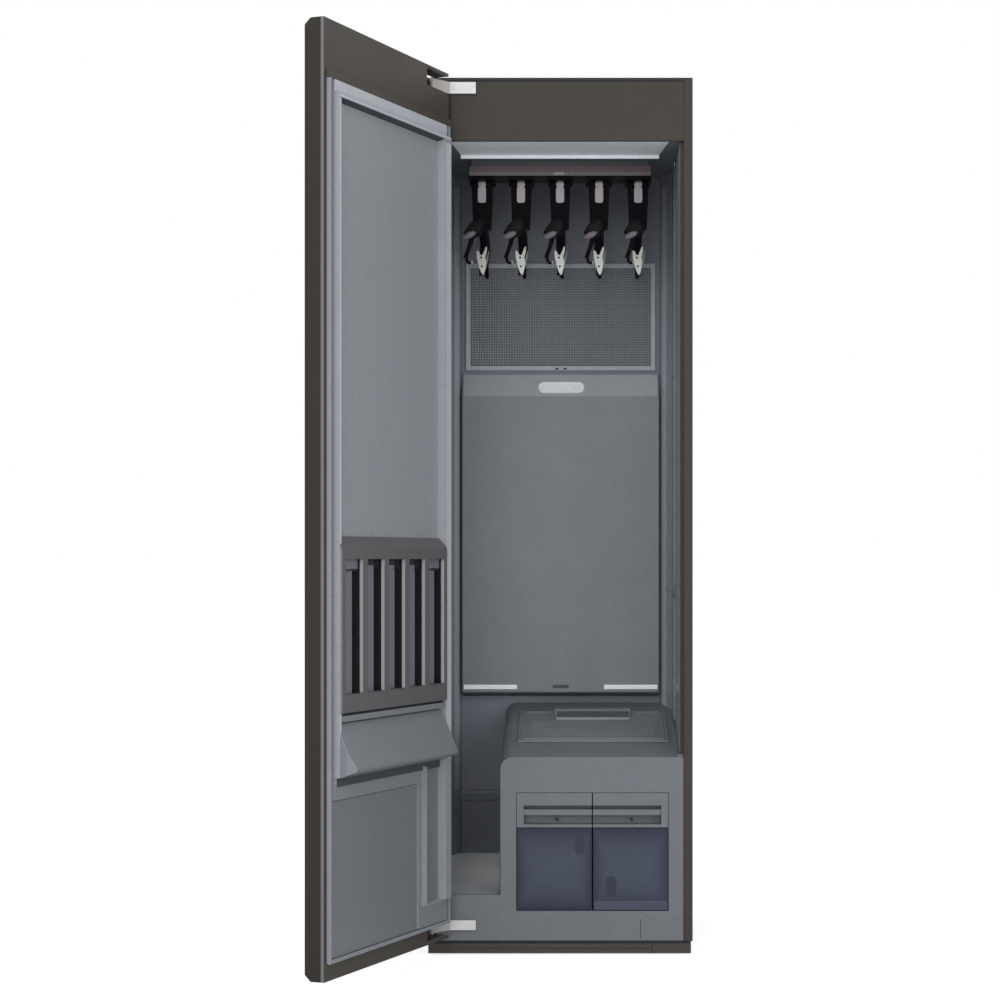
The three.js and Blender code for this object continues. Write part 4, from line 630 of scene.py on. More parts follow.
class Shape:
    """A mesh in millimetres of one frame, made of simple bodies, that becomes a piece in metres.

    Every method that adds a body takes the width of its edge rounding as edge, and gives the shape.
    """

    def __init__(self, name: str, body: str = "cabinet", place: Matrix | None = None) -> None:
        """Args: name, the piece's name; body, what carries it; place, its matrix where it has one of its own."""
        self.name, self.body = name, body
        self.place = (DOOR if body == "door" else CABINET) if place is None else place
        self.mesh = bmesh.new()

    def slab(self, x: Span, y: Span, z: Span, edge: float = 0.0) -> "Shape":
        """Adds a block over its spans across, in depth and in height."""
        return self.prism(rectangle(x, z), Axis.Y, y, edge)

    def prism(self, outline: Sequence[Point2], axis: Axis, span: Span, edge: float = 0.0, segments: int = 2) -> "Shape":
        """Adds an outline pushed over a span of an axis."""
        return self.loft([[axis.at(point, along) for point in outline] for along in span], edge, segments)

    def hoop(self, outer: Sequence[Point2], inner: Sequence[Point2], axis: Axis, span: Span, edge: float) -> "Shape":
        """Adds a flat frame between two outlines of equal count, over a span of an axis."""
        sides = ((outer, span[0]), (outer, span[1]), (inner, span[1]), (inner, span[0]))
        return self.loft([[axis.at(point, along) for point in side] for side, along in sides], edge, loop=True)

    def loft(
        self, rings: Sequence[Sequence[Any]], edge: float = 0.0, segments: int = 2, loop: bool = False,
        angle: float = ROUNDED_FROM,
    ) -> "Shape":
        """Adds a skin over rings of equal count.

        Args:
            rings: The rings, each a list of points.
            edge: Width of its edge rounding.
            segments: Steps across the rounding.
            loop: Whether the last ring joins the first, with no end caps.
            angle: Edges sharper than this, in degrees, are rounded.

        Returns:
            The shape.
        """
        body = bmesh.new()
        rows = [[body.verts.new(Vector(p)) for p in ring] for ring in rings]
        for low, high in list(zip(rows, rows[1:])) + ([(rows[-1], rows[0])] if loop else []):
            for i in range(len(low)):
                j = (i + 1) % len(low)
                body.faces.new((low[i], low[j], high[j], high[i]))
        if not loop:
            body.faces.new(list(reversed(rows[0])))
            body.faces.new(rows[-1])
        bmesh.ops.remove_doubles(body, verts=body.verts, dist=MERGE_MM)
        bmesh.ops.recalc_face_normals(body, faces=body.faces)
        soften(body, body.edges, edge, segments, angle)
        data = bpy.data.meshes.new("island")
        body.to_mesh(data)
        body.free()
        self.mesh.from_mesh(data)
        bpy.data.meshes.remove(data)
        return self

    def turned(self, profile: Profile, centre: Point3, steps: int = 24) -> "Shape":
        """Adds a body turned about a line that runs in depth.

        Args:
            profile: Points of radius, height and lobe depth, from one end to the other.
            centre: Where height zero is.
            steps: Steps round it.

        Returns:
            The shape.
        """
        rings = []
        for radius, height, lobe in profile:
            ring = []
            for step in range(steps):
                turn = 2 * math.pi * step / steps
                reach = max(radius * (1 + lobe * math.cos(SOCKET_LOBES * turn)), 0.01)
                ring.append(Vector(centre) + Axis.Y.at((reach * math.cos(turn), reach * math.sin(turn)), height))
            rings.append(ring)
        return self.loft(rings)

    def tube(self, path: Sequence[Point3], radius: float) -> "Shape":
        """Adds a round bar along a path.

        Args:
            path: The path's points.
            radius: Its radius.

        Returns:
            The shape.
        """
        points = [Vector(p) for p in path]
        rings, side = [], None
        for i, point in enumerate(points):
            along = (points[min(i + 1, len(points) - 1)] - points[max(i - 1, 0)]).normalized()
            side = along.orthogonal().normalized() if side is None else side
            side = (side - along * side.dot(along)).normalized()
            up = along.cross(side)
            turns = [2 * math.pi * s / TUBE_STEPS for s in range(TUBE_STEPS)]
            rings.append([point + (side * math.cos(t) + up * math.sin(t)) * radius for t in turns])
        return self.loft(rings)

    def bare(self, finish: Finish) -> Object:
        """Turns the shape into an object that no body carries yet."""
        bmesh.ops.transform(self.mesh, matrix=self.place, verts=self.mesh.verts)
        return placed(self.name, self.mesh, finish)

    def piece(self, finish: Finish, nodes: Sequence[str] = ()) -> None:
        """Turns the shape into a piece in its place.

        Args:
            finish: Its finish.
            nodes: The CAD nodes that it stands for.
        """
        made = self.bare(finish)
        weighted(made)
        LOG.info("made %s, %d faces", self.name, len(made.data.polygons))
        settle(made, self.body, nodes)


def rectangle(x: Span, z: Span, corner: float = 0.0, steps: int = 4) -> list[Point2]:
    """Draws a rectangle with round corners.

    Args:
        x: Its span across.
        z: Its other span.
        corner: Corner radius.
        steps: Steps round each corner.

    Returns:
        The outline, anticlockwise.
    """
    if corner <= 0:
        return [(x[0], z[0]), (x[1], z[0]), (x[1], z[1]), (x[0], z[1])]
    right, left, top, bottom = x[1] - corner, x[0] + corner, z[1] - corner, z[0] + corner
    out: list[Point2] = []
    for quarter, (cx, cz) in enumerate(((right, top), (left, top), (left, bottom), (right, bottom))):
        for step in range(steps + 1):
            turn = math.pi / 2 * (quarter + step / steps)
            out.append((cx + corner * math.cos(turn), cz + corner * math.sin(turn)))
    return out


def trim(name: str, finish: Finish, *blocks: Block, edge: float = 0.0, body: str = "cabinet") -> None:
    """Makes a piece of plain blocks.

    Args:
        name: Name of the piece.
        finish: Its finish.
        blocks: Each block's spans across, in depth and in height.
        edge: Width of their edge rounding.
        body: The body that carries it.
    """
    shape = Shape(name, body)
    for x, y, z in blocks:
        shape.slab(x, y, z, edge)
    shape.piece(finish)


def flat(name: str, finish: Finish, edges: Edges, thick: float, body: str = "cabinet") -> None:
    """Makes a thin sheet between level edges.

    Args:
        name: Name of the piece.
        finish: Its finish.
        edges: Each edge's span across, its depth and its level.
        thick: Thickness of the sheet.
        body: The body that carries it.
    """
    rings = [[(x, y, z) for x, z in rectangle(span, (low, low + thick))] for span, y, low in edges]
    Shape(name, body).loft(rings).piece(finish)


def repeat_tree() -> Tree:
    """Builds the tree that repeats a pattern object over rows and columns.

    Returns:
        The geometry node tree.
    """
    ins = {"Pattern": "Object", "Count": "Int", "Step": "Vector", "Rows": "Int", "Row Step": "Vector"}
    ins |= {"Finish": "Material"}
    sheet, given, end = group_tree("repeat_rows", "GeometryNodeTree", ins, {"Geometry": "Geometry"})
    line = sheet.out("GeometryNodeMeshLine", {"Count": given["Count"], "Offset": given["Step"]})
    rows = sheet.out("GeometryNodeMeshLine", {"Count": given["Rows"], "Offset": given["Row Step"]})
    field = sheet.out("GeometryNodeInstanceOnPoints", {"Points": rows, "Instance": line})
    points = sheet.out("GeometryNodeRealizeInstances", {0: field})
    pattern = sheet.add("GeometryNodeObjectInfo", {"Object": given["Pattern"]}).outputs["Geometry"]
    filled = sheet.out("GeometryNodeInstanceOnPoints", {"Points": points, "Instance": pattern})
    real = sheet.out("GeometryNodeRealizeInstances", {0: filled})
    sheet.fill(end, {0: sheet.out("GeometryNodeSetMaterial", {0: real, "Material": given["Finish"]})})
    return sheet.tree


def weave_tree() -> Tree:
    """Builds the tree for a woven mesh: two sets of round wires that pass over and under each other.

    Returns:
        The geometry node tree.
    """
    ins = {"Width": "Float", "Height": "Float", "Columns": "Int", "Rows": "Int", "Wire": "Float", "Wave": "Float"}
    ins |= {"Finish": "Material"}
    sheet, given, end = group_tree("woven_mesh", "GeometryNodeTree", ins, {"Geometry": "Geometry"})
    size = {"Size X": given["Width"], "Size Y": given["Height"]}
    size |= {"Vertices X": given["Columns"], "Vertices Y": given["Rows"]}
    grid = sheet.out("GeometryNodeMeshGrid", size)
    index = sheet.out("GeometryNodeInputIndex")
    column = sheet.calc("FLOOR", sheet.calc("DIVIDE", index, given["Rows"]))
    row = sheet.calc("MODULO", index, given["Rows"])
    parity = sheet.calc("MODULO", sheet.calc("ADD", column, row), 2.0)
    sway = sheet.calc("MULTIPLY", sheet.calc("MULTIPLY_ADD", parity, 2.0, -1.0), given["Wave"])
    ends = sheet.add("GeometryNodeInputMeshEdgeVertices").outputs
    gap = sheet.out("ShaderNodeVectorMath", {0: ends[2], 1: ends[3]}, operation="SUBTRACT")
    parts = sheet.add("ShaderNodeSeparateXYZ", {0: gap}).outputs
    across, along = sheet.calc("ABSOLUTE", parts[0]), sheet.calc("ABSOLUTE", parts[1])
    profile = sheet.out("GeometryNodeCurvePrimitiveCircle", {"Resolution": 5, "Radius": given["Wire"]})
    joined = sheet.add("GeometryNodeJoinGeometry")
    for first, second, sign in ((across, along, 1.0), (along, across, -1.0)):
        lift = sheet.out("ShaderNodeCombineXYZ", {2: sheet.calc("MULTIPLY", sway, sign)})
        crossing = {0: grid, 1: sheet.calc("GREATER_THAN", first, second)}
        kept = sheet.out("GeometryNodeDeleteGeometry", crossing, domain="EDGE", mode="EDGE_FACE")
        waved = sheet.out("GeometryNodeSetPosition", {0: kept, "Offset": lift})
        curve = sheet.out("GeometryNodeMeshToCurve", {0: waved})
        sheet.fill(joined, {0: sheet.out("GeometryNodeCurveToMesh", {0: curve, 1: profile, "Fill Caps": True})})
    real = sheet.out("GeometryNodeRealizeInstances", {0: joined.outputs[0]})
    sheet.fill(end, {0: sheet.out("GeometryNodeSetMaterial", {0: real, "Material": given["Finish"]})})
    return sheet.tree


REPEAT = repeat_tree()
WEAVE = weave_tree()


def grow(name: str, tree: Tree, values: dict[str, Any]) -> Object:
    """Runs a geometry node tree and keeps its result as a plain mesh.

    Args:
        name: Name of the piece.
        tree: The tree.
        values: The tree's inputs by name.

    Returns:
        The object, which no body carries yet.
    """
    holder = bpy.data.objects.new(name, bpy.data.meshes.new(name))
    bpy.context.scene.collection.objects.link(holder)
    modifier = holder.modifiers.new("grown", "NODES")
    modifier.node_group = tree
    for item in tree.interface.items_tree:
        if item.item_type == "SOCKET" and item.in_out == "INPUT" and item.name in values:
            modifier[item.identifier] = values[item.name]
    bake(holder)
    return holder


def repeat(
    name: str, pattern: Shape, finish: Finish, count: int, step: Point3, rows: int = 1, row_step: Point3 = (0, 0, 0)
) -> None:
    """Repeats a shape over rows and columns.

    Args:
        name: Name of the piece.
        pattern: The first of the row, in its place.
        finish: Its finish.
        count: How many in a row.
        step: From one to the next, in the pattern's own millimetres.
        rows: How many rows.
        row_step: From one row to the next.
    """
    turn = pattern.place.to_3x3()
    source = pattern.bare(finish)
    values = {"Pattern": source, "Count": count, "Step": turn @ Vector(step), "Rows": rows}
    values |= {"Row Step": turn @ Vector(row_step), "Finish": finish.material()}
    made = grow(name, REPEAT, values)
    spent = source.data
    bpy.data.objects.remove(source)
    bpy.data.meshes.remove(spent)
    weighted(made)
    LOG.info("repeated %s, %d faces", name, len(made.data.polygons))
    settle(made, pattern.body)


@dataclass
class Studio:
    """The floor, the light and the camera. Lamps have a name, a place, a target, a size and their watts."""

    lens: float = 84.0
    sensor: float = 36.0
    shift: Point2 = (-0.072, 0.0587)
    eye: Point3 = (27.8, -5213.0, 885.3)
    world_light: float = 0.5
    floor_size: float = 60.0
    floor_glow: float = 0.66
    lamps: tuple[tuple[str, Point3, Point3, Point2, float], ...] = (
        ("key", (-1.3, -4.6, 3.0), (0.0, 0.2, 1.0), (3.4, 3.0), 135.0),
        ("fill", (3.2, -3.4, 1.9), (-0.1, 0.0, 0.95), (2.6, 2.6), 62.0),
        ("low", (0.3, -4.6, 0.5), (0.1, 0.3, 0.7), (2.6, 0.9), 36.0),
    )

    def build(self) -> None:
        """Makes the world, the floor, the lamps and the camera."""
        scene = bpy.context.scene
        scene.view_settings.view_transform = "Standard"
        self.world(scene)
        self.floor()
        for row in self.lamps:
            self.lamp(*row)
        data = bpy.data.cameras.new("camera")
        data.lens, data.sensor_width = self.lens, self.sensor
        data.shift_x, data.shift_y = self.shift
        camera = bpy.data.objects.new("camera", data)
        camera.location = CABINET @ Vector(self.eye)
        camera.rotation_euler = (math.radians(90), 0, 0)
        scene.collection.objects.link(camera)
        scene.camera = camera

    def world(self, scene: bpy.types.Scene) -> None:
        """Makes the world: white where it is seen, plain grey as light.

        Args:
            scene: The scene.
        """
        world = bpy.data.worlds.new("studio")
        world.use_nodes = True
        scene.world = world
        world.node_tree.nodes.clear()
        sheet = Sheet(world.node_tree)
        light = sheet.out("ShaderNodeBackground", {0: (0.95, 0.97, 1.0, 1.0), 1: self.world_light})
        seen = sheet.out("ShaderNodeBackground", {0: (1.0, 1.0, 1.0, 1.0), 1: 1.0})
        path = sheet.add("ShaderNodeLightPath").outputs
        share = sheet.calc("MAXIMUM", path["Is Camera Ray"], path["Is Transmission Ray"])
        share = sheet.calc("MAXIMUM", share, path["Is Glossy Ray"])
        sheet.add("ShaderNodeOutputWorld", {0: sheet.out("ShaderNodeMixShader", {0: share, 1: light, 2: seen})})

    def floor(self) -> None:
        """Makes the pale floor, which keeps the object's shadow."""
        mesh = bmesh.new()
        bmesh.ops.create_grid(mesh, x_segments=2, y_segments=2, size=self.floor_size)
        data = bpy.data.meshes.new("floor")
        mesh.to_mesh(data)
        mesh.free()
        paper = bpy.data.materials.new("floor_paper")
        paper.use_nodes = True
        sheet = Sheet(paper.node_tree)
        grain = sheet.noise(sheet.add("ShaderNodeTexCoord").outputs["Object"], 60.0)
        shade = sheet.tint(grain, (0.76, 0.76, 0.76, 1.0), (0.8, 0.8, 0.8, 1.0))
        seen = sheet.add("ShaderNodeLightPath").outputs["Is Camera Ray"]
        look = {"Base Color": shade, "Roughness": 0.9, "Specular IOR Level": 0.0}
        look |= {"Emission Color": (1.0, 1.0, 1.0, 1.0)}
        look |= {"Emission Strength": sheet.calc("MULTIPLY", seen, self.floor_glow)}
        sheet.fill(paper.node_tree.nodes["Principled BSDF"], look)
        data.materials.append(paper)
        floor = bpy.data.objects.new("floor", data)
        bpy.context.scene.collection.objects.link(floor)

    def lamp(self, name: str, place: Point3, target: Point3, size: Point2, power: float) -> None:
        """Makes one soft lamp.

        Args:
            name: Its name.
            place: Where it stands, in metres.
            target: Where it looks.
            size: Its width and height.
            power: Its power in watts.
        """
        data = bpy.data.lights.new(name, "AREA")
        data.shape, data.size, data.size_y, data.energy = "RECTANGLE", size[0], size[1], power
        lamp = bpy.data.objects.new(name, data)
        lamp.visible_glossy = False
        lamp.location = place
        lamp.rotation_euler = (Vector(target) - Vector(place)).to_track_quat("-Z", "Y").to_euler()
        bpy.context.scene.collection.objects.link(lamp)


@dataclass
class Shell:
    """The steel shell with its plinth, feet and rear details."""

    rear: float = 579.0
    louvre_pitch: Point3 = (0.0, 0.0, 13.0)
    louvre_columns: Point3 = (110.0, 0.0, 0.0)
    louvre_bow: tuple[Point2, ...] = ((-42.0, 0.3), (-35.0, 3.6), (35.0, 3.6), (42.0, 0.3))
    louvre_fields: tuple[tuple[str, float, float, int], ...] = (("low", -150.0, 150.0, 9), ("high", -55.0, 1610.0, 7))
    screw: Profile = ((0.0, 0.0, 0.0), (4.0, 0.0, 0.0), (4.0, 0.88, 0.0), (3.44, 1.68, 0.0), (2.08, 2.08, 0.0),
                      (1.68, 2.0, 0.14), (1.6, 0.8, 0.14), (0.0, 0.64, 0.0))
    screw_rows: tuple[tuple[str, float, float, int, Point3], ...] = (
        ("left", -273.0, 70.0, 8, (0.0, 0.0, 258.0)),
        ("right", 273.0, 70.0, 8, (0.0, 0.0, 258.0)),
        ("top", -180.0, 1946.0, 4, (120.0, 0.0, 0.0)),
    )

    def build(self) -> None:
        """Dresses the panels and adds the painted shadow strips on the header, the shadow gap over the plinth, louvres
        and screws.
        """
        for node in ("side_panel_left", "side_panel_right", "header_panel"):
            rounded(node, CABINET_STEEL, 0.9)
        rounded("top_panel", CABINET_STEEL, 0.3)
        rounded("back_panel", ZINC, 0.25)
        rounded("base_pan", ZINC, 0.3)
        rounded("plinth", PLINTH, 1.0)
        rounded("cord_gland", DARK_PLASTIC, 0.4)
        for corner in ("front_left", "front_right", "rear_left", "rear_right"):
            rounded(f"foot_{corner}", DARK_PLASTIC, 0.5)
        # Painted shadow: a dark strip where the open door shades the header's left end, and a dark line along the
        # header's top edge.
        trim("header_seams", SEAM, ((-250.0, -242.5), (-0.3, 0.1), (1824.0, 1921.0)),
             ((-289.5, 278.0), (-0.3, 0.1), (1950.5, 1955.5)))
        trim("plinth_gap", SEAM, ((-292, 292), (5.2, 6.1), (25.0, 30.6)), ((206, 208), (5.4, 6.1), (3, 23)))
        trim("plinth_lip", PLINTH, ((-292, 205), (3.6, 6.2), (14.5, 24.8)), edge=0.8)
        for name, left, bottom, count in self.louvre_fields:
            rings = []
            for across, out in self.louvre_bow:
                profile = ((0.0, -0.3), (out, 0.0), (out * 0.8, 1.6), (0.0, 6.4))
                rings.append([(across + left, self.rear + y, bottom + z) for y, z in profile])
            hood = Shape("louvre").loft(rings, 0.4)
            repeat(f"louvres_{name}", hood, ZINC, count, self.louvre_pitch, 2, self.louvre_columns)
        for name, x, level, count, step in self.screw_rows:
            head = Shape("rear_screw").turned(self.screw, (x, self.rear, level))
            repeat(f"rear_screws_{name}", head, ZINC, count, step)


@dataclass
class Liner:
    """The moulded walls, the ceiling with its hood and the light bar."""

    hood_edges: Edges = (((-244.0, 244.0), 13.0, 1817.9), ((-228.0, 228.0), 151.0, 1813.3))
    strip: tuple[Point2, ...] = ((257.3, 463.6), (247.6, 491.4), (247.3, 491.2), (257.0, 463.4))
    strip_z: Span = (322.0, 1790.0)
    hook: tuple[Point3, ...] = ((267, 307, 812), (257, 307, 808), (252, 307, 812), (251, 307, 819))

    def build(self) -> None:
        """Dresses the walls, paler than the back as painted light, and the ceiling, and adds the hood's pale sheet and
        the pale corner strips as painted light, the seam, hook and catch.
        """
        # The side walls get a paler copy of the liner plastic as painted light.
        for node in ("liner_left", "liner_right"):
            dress(node, LINER_WALL_LIT)
        rounded("liner_back", LINER, 0.5)
        rounded("liner_ceiling", LINER, 0.8)
        rounded("ceiling_light", DIFFUSER, 0.8)
        # The hood's near white sheet is painted light from the light bar.
        flat("hood_sheet", HOOD_LIT, self.hood_edges, 0.7)
        left = [(-x, y) for x, y in self.strip]
        # The pale corner strips are painted light on the back corners.
        for name, outline in (("left", left), ("right", self.strip[::-1])):
            Shape(f"corner_strip_{name}").prism(outline, Axis.Z, self.strip_z).piece(WALL_STRIP_LIT)
        trim("wall_seam", SEAM, ((268.6, 269.2), (340, 428), (1317.8, 1320.2)))
        Shape("wall_hook").slab((266, 269), (296, 318), (792, 822), 1.2).tube(self.hook, 2.6).piece(LINER)
        trim("wall_catch", LINER, ((265, 269), (30, 52), (586, 606)), ((262, 266), (36, 46), (591, 601)), edge=1.0)


@dataclass
class BackWall:
    """The woven grille, the cover with its bare badge and the two light strips."""

    grille_x: float = 221.0
    grille_z: Span = (1357.0, 1597.0)
    grille_y: Span = (498.7, 504.7)
    border: float = 11.0
    cells: tuple[int, int] = (72, 39)
    wire: float = 1.45
    wave: float = 0.7
    slope_half: float = 236.0
    badge_x: float = 2.0
    badge_z: float = 1303.0
    badge_half: Point2 = (56.0, 14.5)
    notch: tuple[Span, Span, float] = ((-20.0, 20.0), (569.5, 577.5), 3.0)
    notch_y: Span = (479.3, 480.2)

    def build(self) -> None:
        """Makes the grille, the badge, the finger notch and a dark strip along the lower edge as painted shadow, and
        dresses the rest.
        """
        self.grille()
        rounded("back_cover", COVER, 1.6, 3)
        self.badge()
        Shape("cover_notch").prism(rectangle(*self.notch), Axis.Y, self.notch_y, 0.3).piece(NOTCH)
        # Painted shadow under the cover's lower edge.
        trim("cover_edge", SEAM, ((-238, 238), (479.2, 480.2), (551, 556)), edge=0.3)
        for node in ("light_strip_left", "light_strip_right"):
            rounded(node, DIFFUSER, 0.8)

    def grille(self) -> None:
        """Makes the grille's frame, its two latches and its woven mesh."""
        low, high = self.grille_z
        reach = self.grille_x + self.border
        outer = rectangle((-reach, reach), (low - self.border, high + self.border))
        inner = rectangle((-self.grille_x, self.grille_x), self.grille_z)
        Shape("grille_frame").hoop(outer, inner, Axis.Y, self.grille_y, 1.2).piece(GRILLE, ["back_grille"])
        trim("grille_latches", SEAM, ((-13, -5), (497.9, 498.9), (1348.5, 1352.5)),
             ((7, 15), (497.9, 498.9), (1348.5, 1352.5)), edge=0.3)
        middle = (0.0, sum(self.grille_y) / 2, sum(self.grille_z) / 2)
        values = {"Width": 2 * self.grille_x, "Height": high - low, "Wire": self.wire, "Wave": self.wave}
        values |= {"Columns": self.cells[0] + 1, "Rows": self.cells[1] + 1, "Finish": WEAVE_WIRE.material()}
        woven = grow("grille_weave", WEAVE, values)
        woven.data.transform(CABINET @ Matrix.Translation(middle) @ Matrix.Rotation(math.radians(90), 4, "X"))
        woven.data.polygons.foreach_set("use_smooth", [True] * len(woven.data.polygons))
        settle(woven, "cabinet")
        LOG.info("wove the grille, %d faces", len(woven.data.polygons))

    def slope(self) -> tuple[Matrix, Span]:
        """Finds the plane of the cover's sloping top.

        Returns:
            A matrix whose X runs across, Z up the slope and -Y out of it, at the badge's middle, and the span
            of the slope along its Z.
        """
        source = frame["nodes"]["back_cover"].data
        points = [CABINET.inverted() @ v.co for v in source.vertices]
        top, front = max(p.z for p in points), min(p.y for p in points)
        shoulder = max(p.z for p in points if p.y < front + 0.5)
        crest = min(p.y for p in points if p.z > top - 0.5)
        lean = math.atan2(crest - front, top - shoulder)
        share = (self.badge_z - shoulder) / (top - shoulder)
        middle = Vector((self.badge_x, front + (crest - front) * share, self.badge_z))
        span = ((shoulder - self.badge_z) / math.cos(lean), (top - self.badge_z) / math.cos(lean))
        return Matrix.Translation(middle) @ Matrix.Rotation(-lean, 4, "X"), span

    def capsule(self, inset: float, short: float = 0.5) -> list[Point2]:
        """The badge's outline, that far in from its edge, with corners that much short of round ends."""
        x, z = self.badge_half[0] - inset, self.badge_half[1] - inset
        return rectangle((-x, x), (-z, z), z - short, 8)

    def badge(self) -> None:
        """Makes the pale sheet of the slope, painted light on the cover's sloping top, and its bare badge: a satin
        capsule frame round an empty plate.
        """
        slope, span = self.slope()
        place = CABINET @ slope
        across = (-self.slope_half - self.badge_x, self.slope_half - self.badge_x)
        sheet = Shape("cover_slope", place=place)
        sheet.slab(across, (-0.5, 0.2), (span[0] + 3, span[1] - 2.5)).piece(COVER_SLOPE_LIT)
        ring = Shape("badge_frame", place=place)
        ring.hoop(self.capsule(0.0), self.capsule(4.0), Axis.Y, (-3.2, 0.4), 0.8).piece(BADGE)
        plate = Shape("badge_plate", place=place)
        plate.prism(self.capsule(3.6, 0.6), Axis.Y, (-1.6, 0.3), 0.3).piece(BADGE_PLATE)


@dataclass
class HangerSet:
    """The slotted rail and its five hangers with their labels, painted highlights on their shoulders and sprung clips.
    """

    count: int = 5
    pitch: float = 91.0
    rail_half: float = 210.0
    band: tuple[Span, Span] = ((194.2, 194.9), (1773.2, 1795.6))
    lower_edge: tuple[Span, Span] = ((193.8, 194.3), (1773.2, 1781.5))
    slot_half: float = 20.2
    slot_play: float = 0.25
    neck_front: float = 222.0
    label_half: float = 9.5
    label_z: Span = (1714.0, 1752.0)
    button_z: float = 1757.0
    button: Profile = ((0.0, 0.3, 0.0), (9.3, 0.3, 0.0), (9.3, -1.2, 0.0), (8.0, -2.2, 0.0), (0.0, -2.6, 0.0))
    highlight_rings: int = 9
    highlight_steps: int = 24
    highlight_middle: Point3 = (-22.0, 31.0, 1611.0)
    highlight_half: Point3 = (15.0, 13.0, 9.0)
    hook_bend: tuple[Point2, ...] = ((-24, 1580), (-28, 1566), (-27.5, 1557), (-23, 1552), (-17.5, 1552.5))
    hook_y: float = 48.0
    clip_front: float = 234.5
    ears: tuple[Span, Span] = ((-8.3, -6.3), (6.3, 8.3))
    ear_rear: float = 243.7
    ear_z: Span = (1592.4, 1601.4)
    leaf: tuple[tuple[Point2, ...], ...] = (
        ((1.2, 1547.9), (4.4, 1548.6), (7.6, 1562), (9.8, 1576), (7.6, 1589), (1.0, 1595), (-3.2, 1593.6),
         (-8.2, 1570), (-3.0, 1554)),
        ((-8.2, 1570), (-3.2, 1593.6), (-9.6, 1604.6), (-13.2, 1604), (-12.6, 1588)),
        ((1.0, 1595), (7.6, 1589), (11.2, 1603), (11.6, 1613.8), (8.6, 1613.6)),
    )
    jaw: tuple[Point2, ...] = ((3.2, 1552), (6.0, 1555), (10.6, 1568), (14.0, 1584), (17.0, 1603), (14.8, 1604),
                               (10.6, 1590), (7.0, 1575), (2.6, 1560))
    hole_shade_dome: Profile = ((0.0, 0.2, 0.0), (2.4, 0.2, 0.0), (2.4, -0.5, 0.0), (1.6, -0.9, 0.0), (0.0, -0.9, 0.0))
    hole_shade_domes: tuple[Point2, ...] = ((-0.5, 1567.5), (-2.6, 1588.0))

    def build(self) -> None:
        """Dresses the rail and each hanger."""
        # The rail is dressed dark as painted shade; its brown band is added in front.
        rounded("hanger_rail", RAIL_SHADE, 0.8)
        places = [(place - (self.count - 1) / 2) * self.pitch for place in range(self.count)]
        self.rail(places)
        for number, x in enumerate(places, 1):
            rounded(f"hanger_{number}", HANGER, 1.4)
            self.head(number, x)
            self.painted_highlight(number, x)
            self.clip(number, x)

    def rail(self, places: Sequence[float]) -> None:
        """Adds the brown band along the rail's front, between the slots, its release tab and a dark sheet over it,
        painted shade under the ceiling.

        Args:
            places: The hangers' places across.
        """
        reach = self.slot_half + self.slot_play
        stops = [-self.rail_half, *(x + side for x in places for side in (-reach, reach)), self.rail_half]
        spans = list(zip(stops[::2], stops[1::2]))
        trim("rail_band", RAIL, *((span, *self.band) for span in spans))
        trim("rail_lower_edge", RAIL_EDGE, *((span, *self.lower_edge) for span in spans))
        trim("rail_tab", RAIL_TAB, ((-15.0, 9.0), (193.2, 193.9), (1774.0, 1781.0)), edge=0.2, body="hanger_3")
        # Painted shade: a dark sheet over the band, under the light bar.
        trim("plenum_screen", PLENUM_SHADE, ((-205, 205), (194.4, 194.9), (1796.2, 1815.0)))

    def head(self, number: int, x: float) -> None:
        """Adds the cap of a hanger's head, which closes the band over the slot, and the label and its button.

        Args:
            number: The hanger's number.
            x: Its place across.
        """
        body, front = f"hanger_{number}", self.neck_front
        span = (x - self.slot_half, x + self.slot_half)
        trim(f"head_cap_{number}", RAIL, (span, *self.band), body=body)
        trim(f"head_cap_edge_{number}", RAIL_EDGE, (span, *self.lower_edge), body=body)
        plate = rectangle((x - self.label_half, x + self.label_half), self.label_z, 5.5)
        label = Shape(f"label_{number}", body).prism(plate, Axis.Y, (front - 1.4, front + 0.4), 0.5)
        label.turned(self.button, (x, front, self.button_z), 28).piece(LABEL)

    def painted_highlight(self, number: int, x: float) -> None:
        """Adds a matt pad on a front shoulder's tip, paler as a painted highlight, the bend of its hook and the small
        ferrule on that.

        Args:
            number: The hanger's number.
            x: Its place across.
        """
        body, rings = f"hanger_{number}", []
        wide, deep, tall = self.highlight_half
        left, front, level = self.highlight_middle
        for place in range(self.highlight_rings):
            turn = math.pi * place / (self.highlight_rings - 1)
            swell, depth = max(math.sin(turn), 0.03), deep * (1 - math.cos(turn))
            ring = []
            for step in range(self.highlight_steps):
                angle = 2 * math.pi * step / self.highlight_steps
                across, up = wide * swell * math.cos(angle), tall * swell * math.sin(angle)
                skewed = (x + left + across + 0.35 * up, front + depth, level + up + 0.2 * depth + 0.25 * across)
                ring.append(skewed)
            rings.append(ring)
        Shape(f"shoulder_grip_{number}", body).loft(rings, angle=90).piece(HANGER_TIP_HIGHLIGHT)
        bend = [(x + px, self.hook_y, pz) for px, pz in self.hook_bend]
        Shape(f"hook_bend_{number}", body).tube(bend, 3.4).piece(HANGER)
        ferrule = ((x - 18.5, x - 13.5), (self.hook_y - 3, self.hook_y + 3), (1549.5, 1556.5))
        trim(f"hook_ferrule_{number}", CHROME_REAR, ferrule, edge=1.0, body=body)

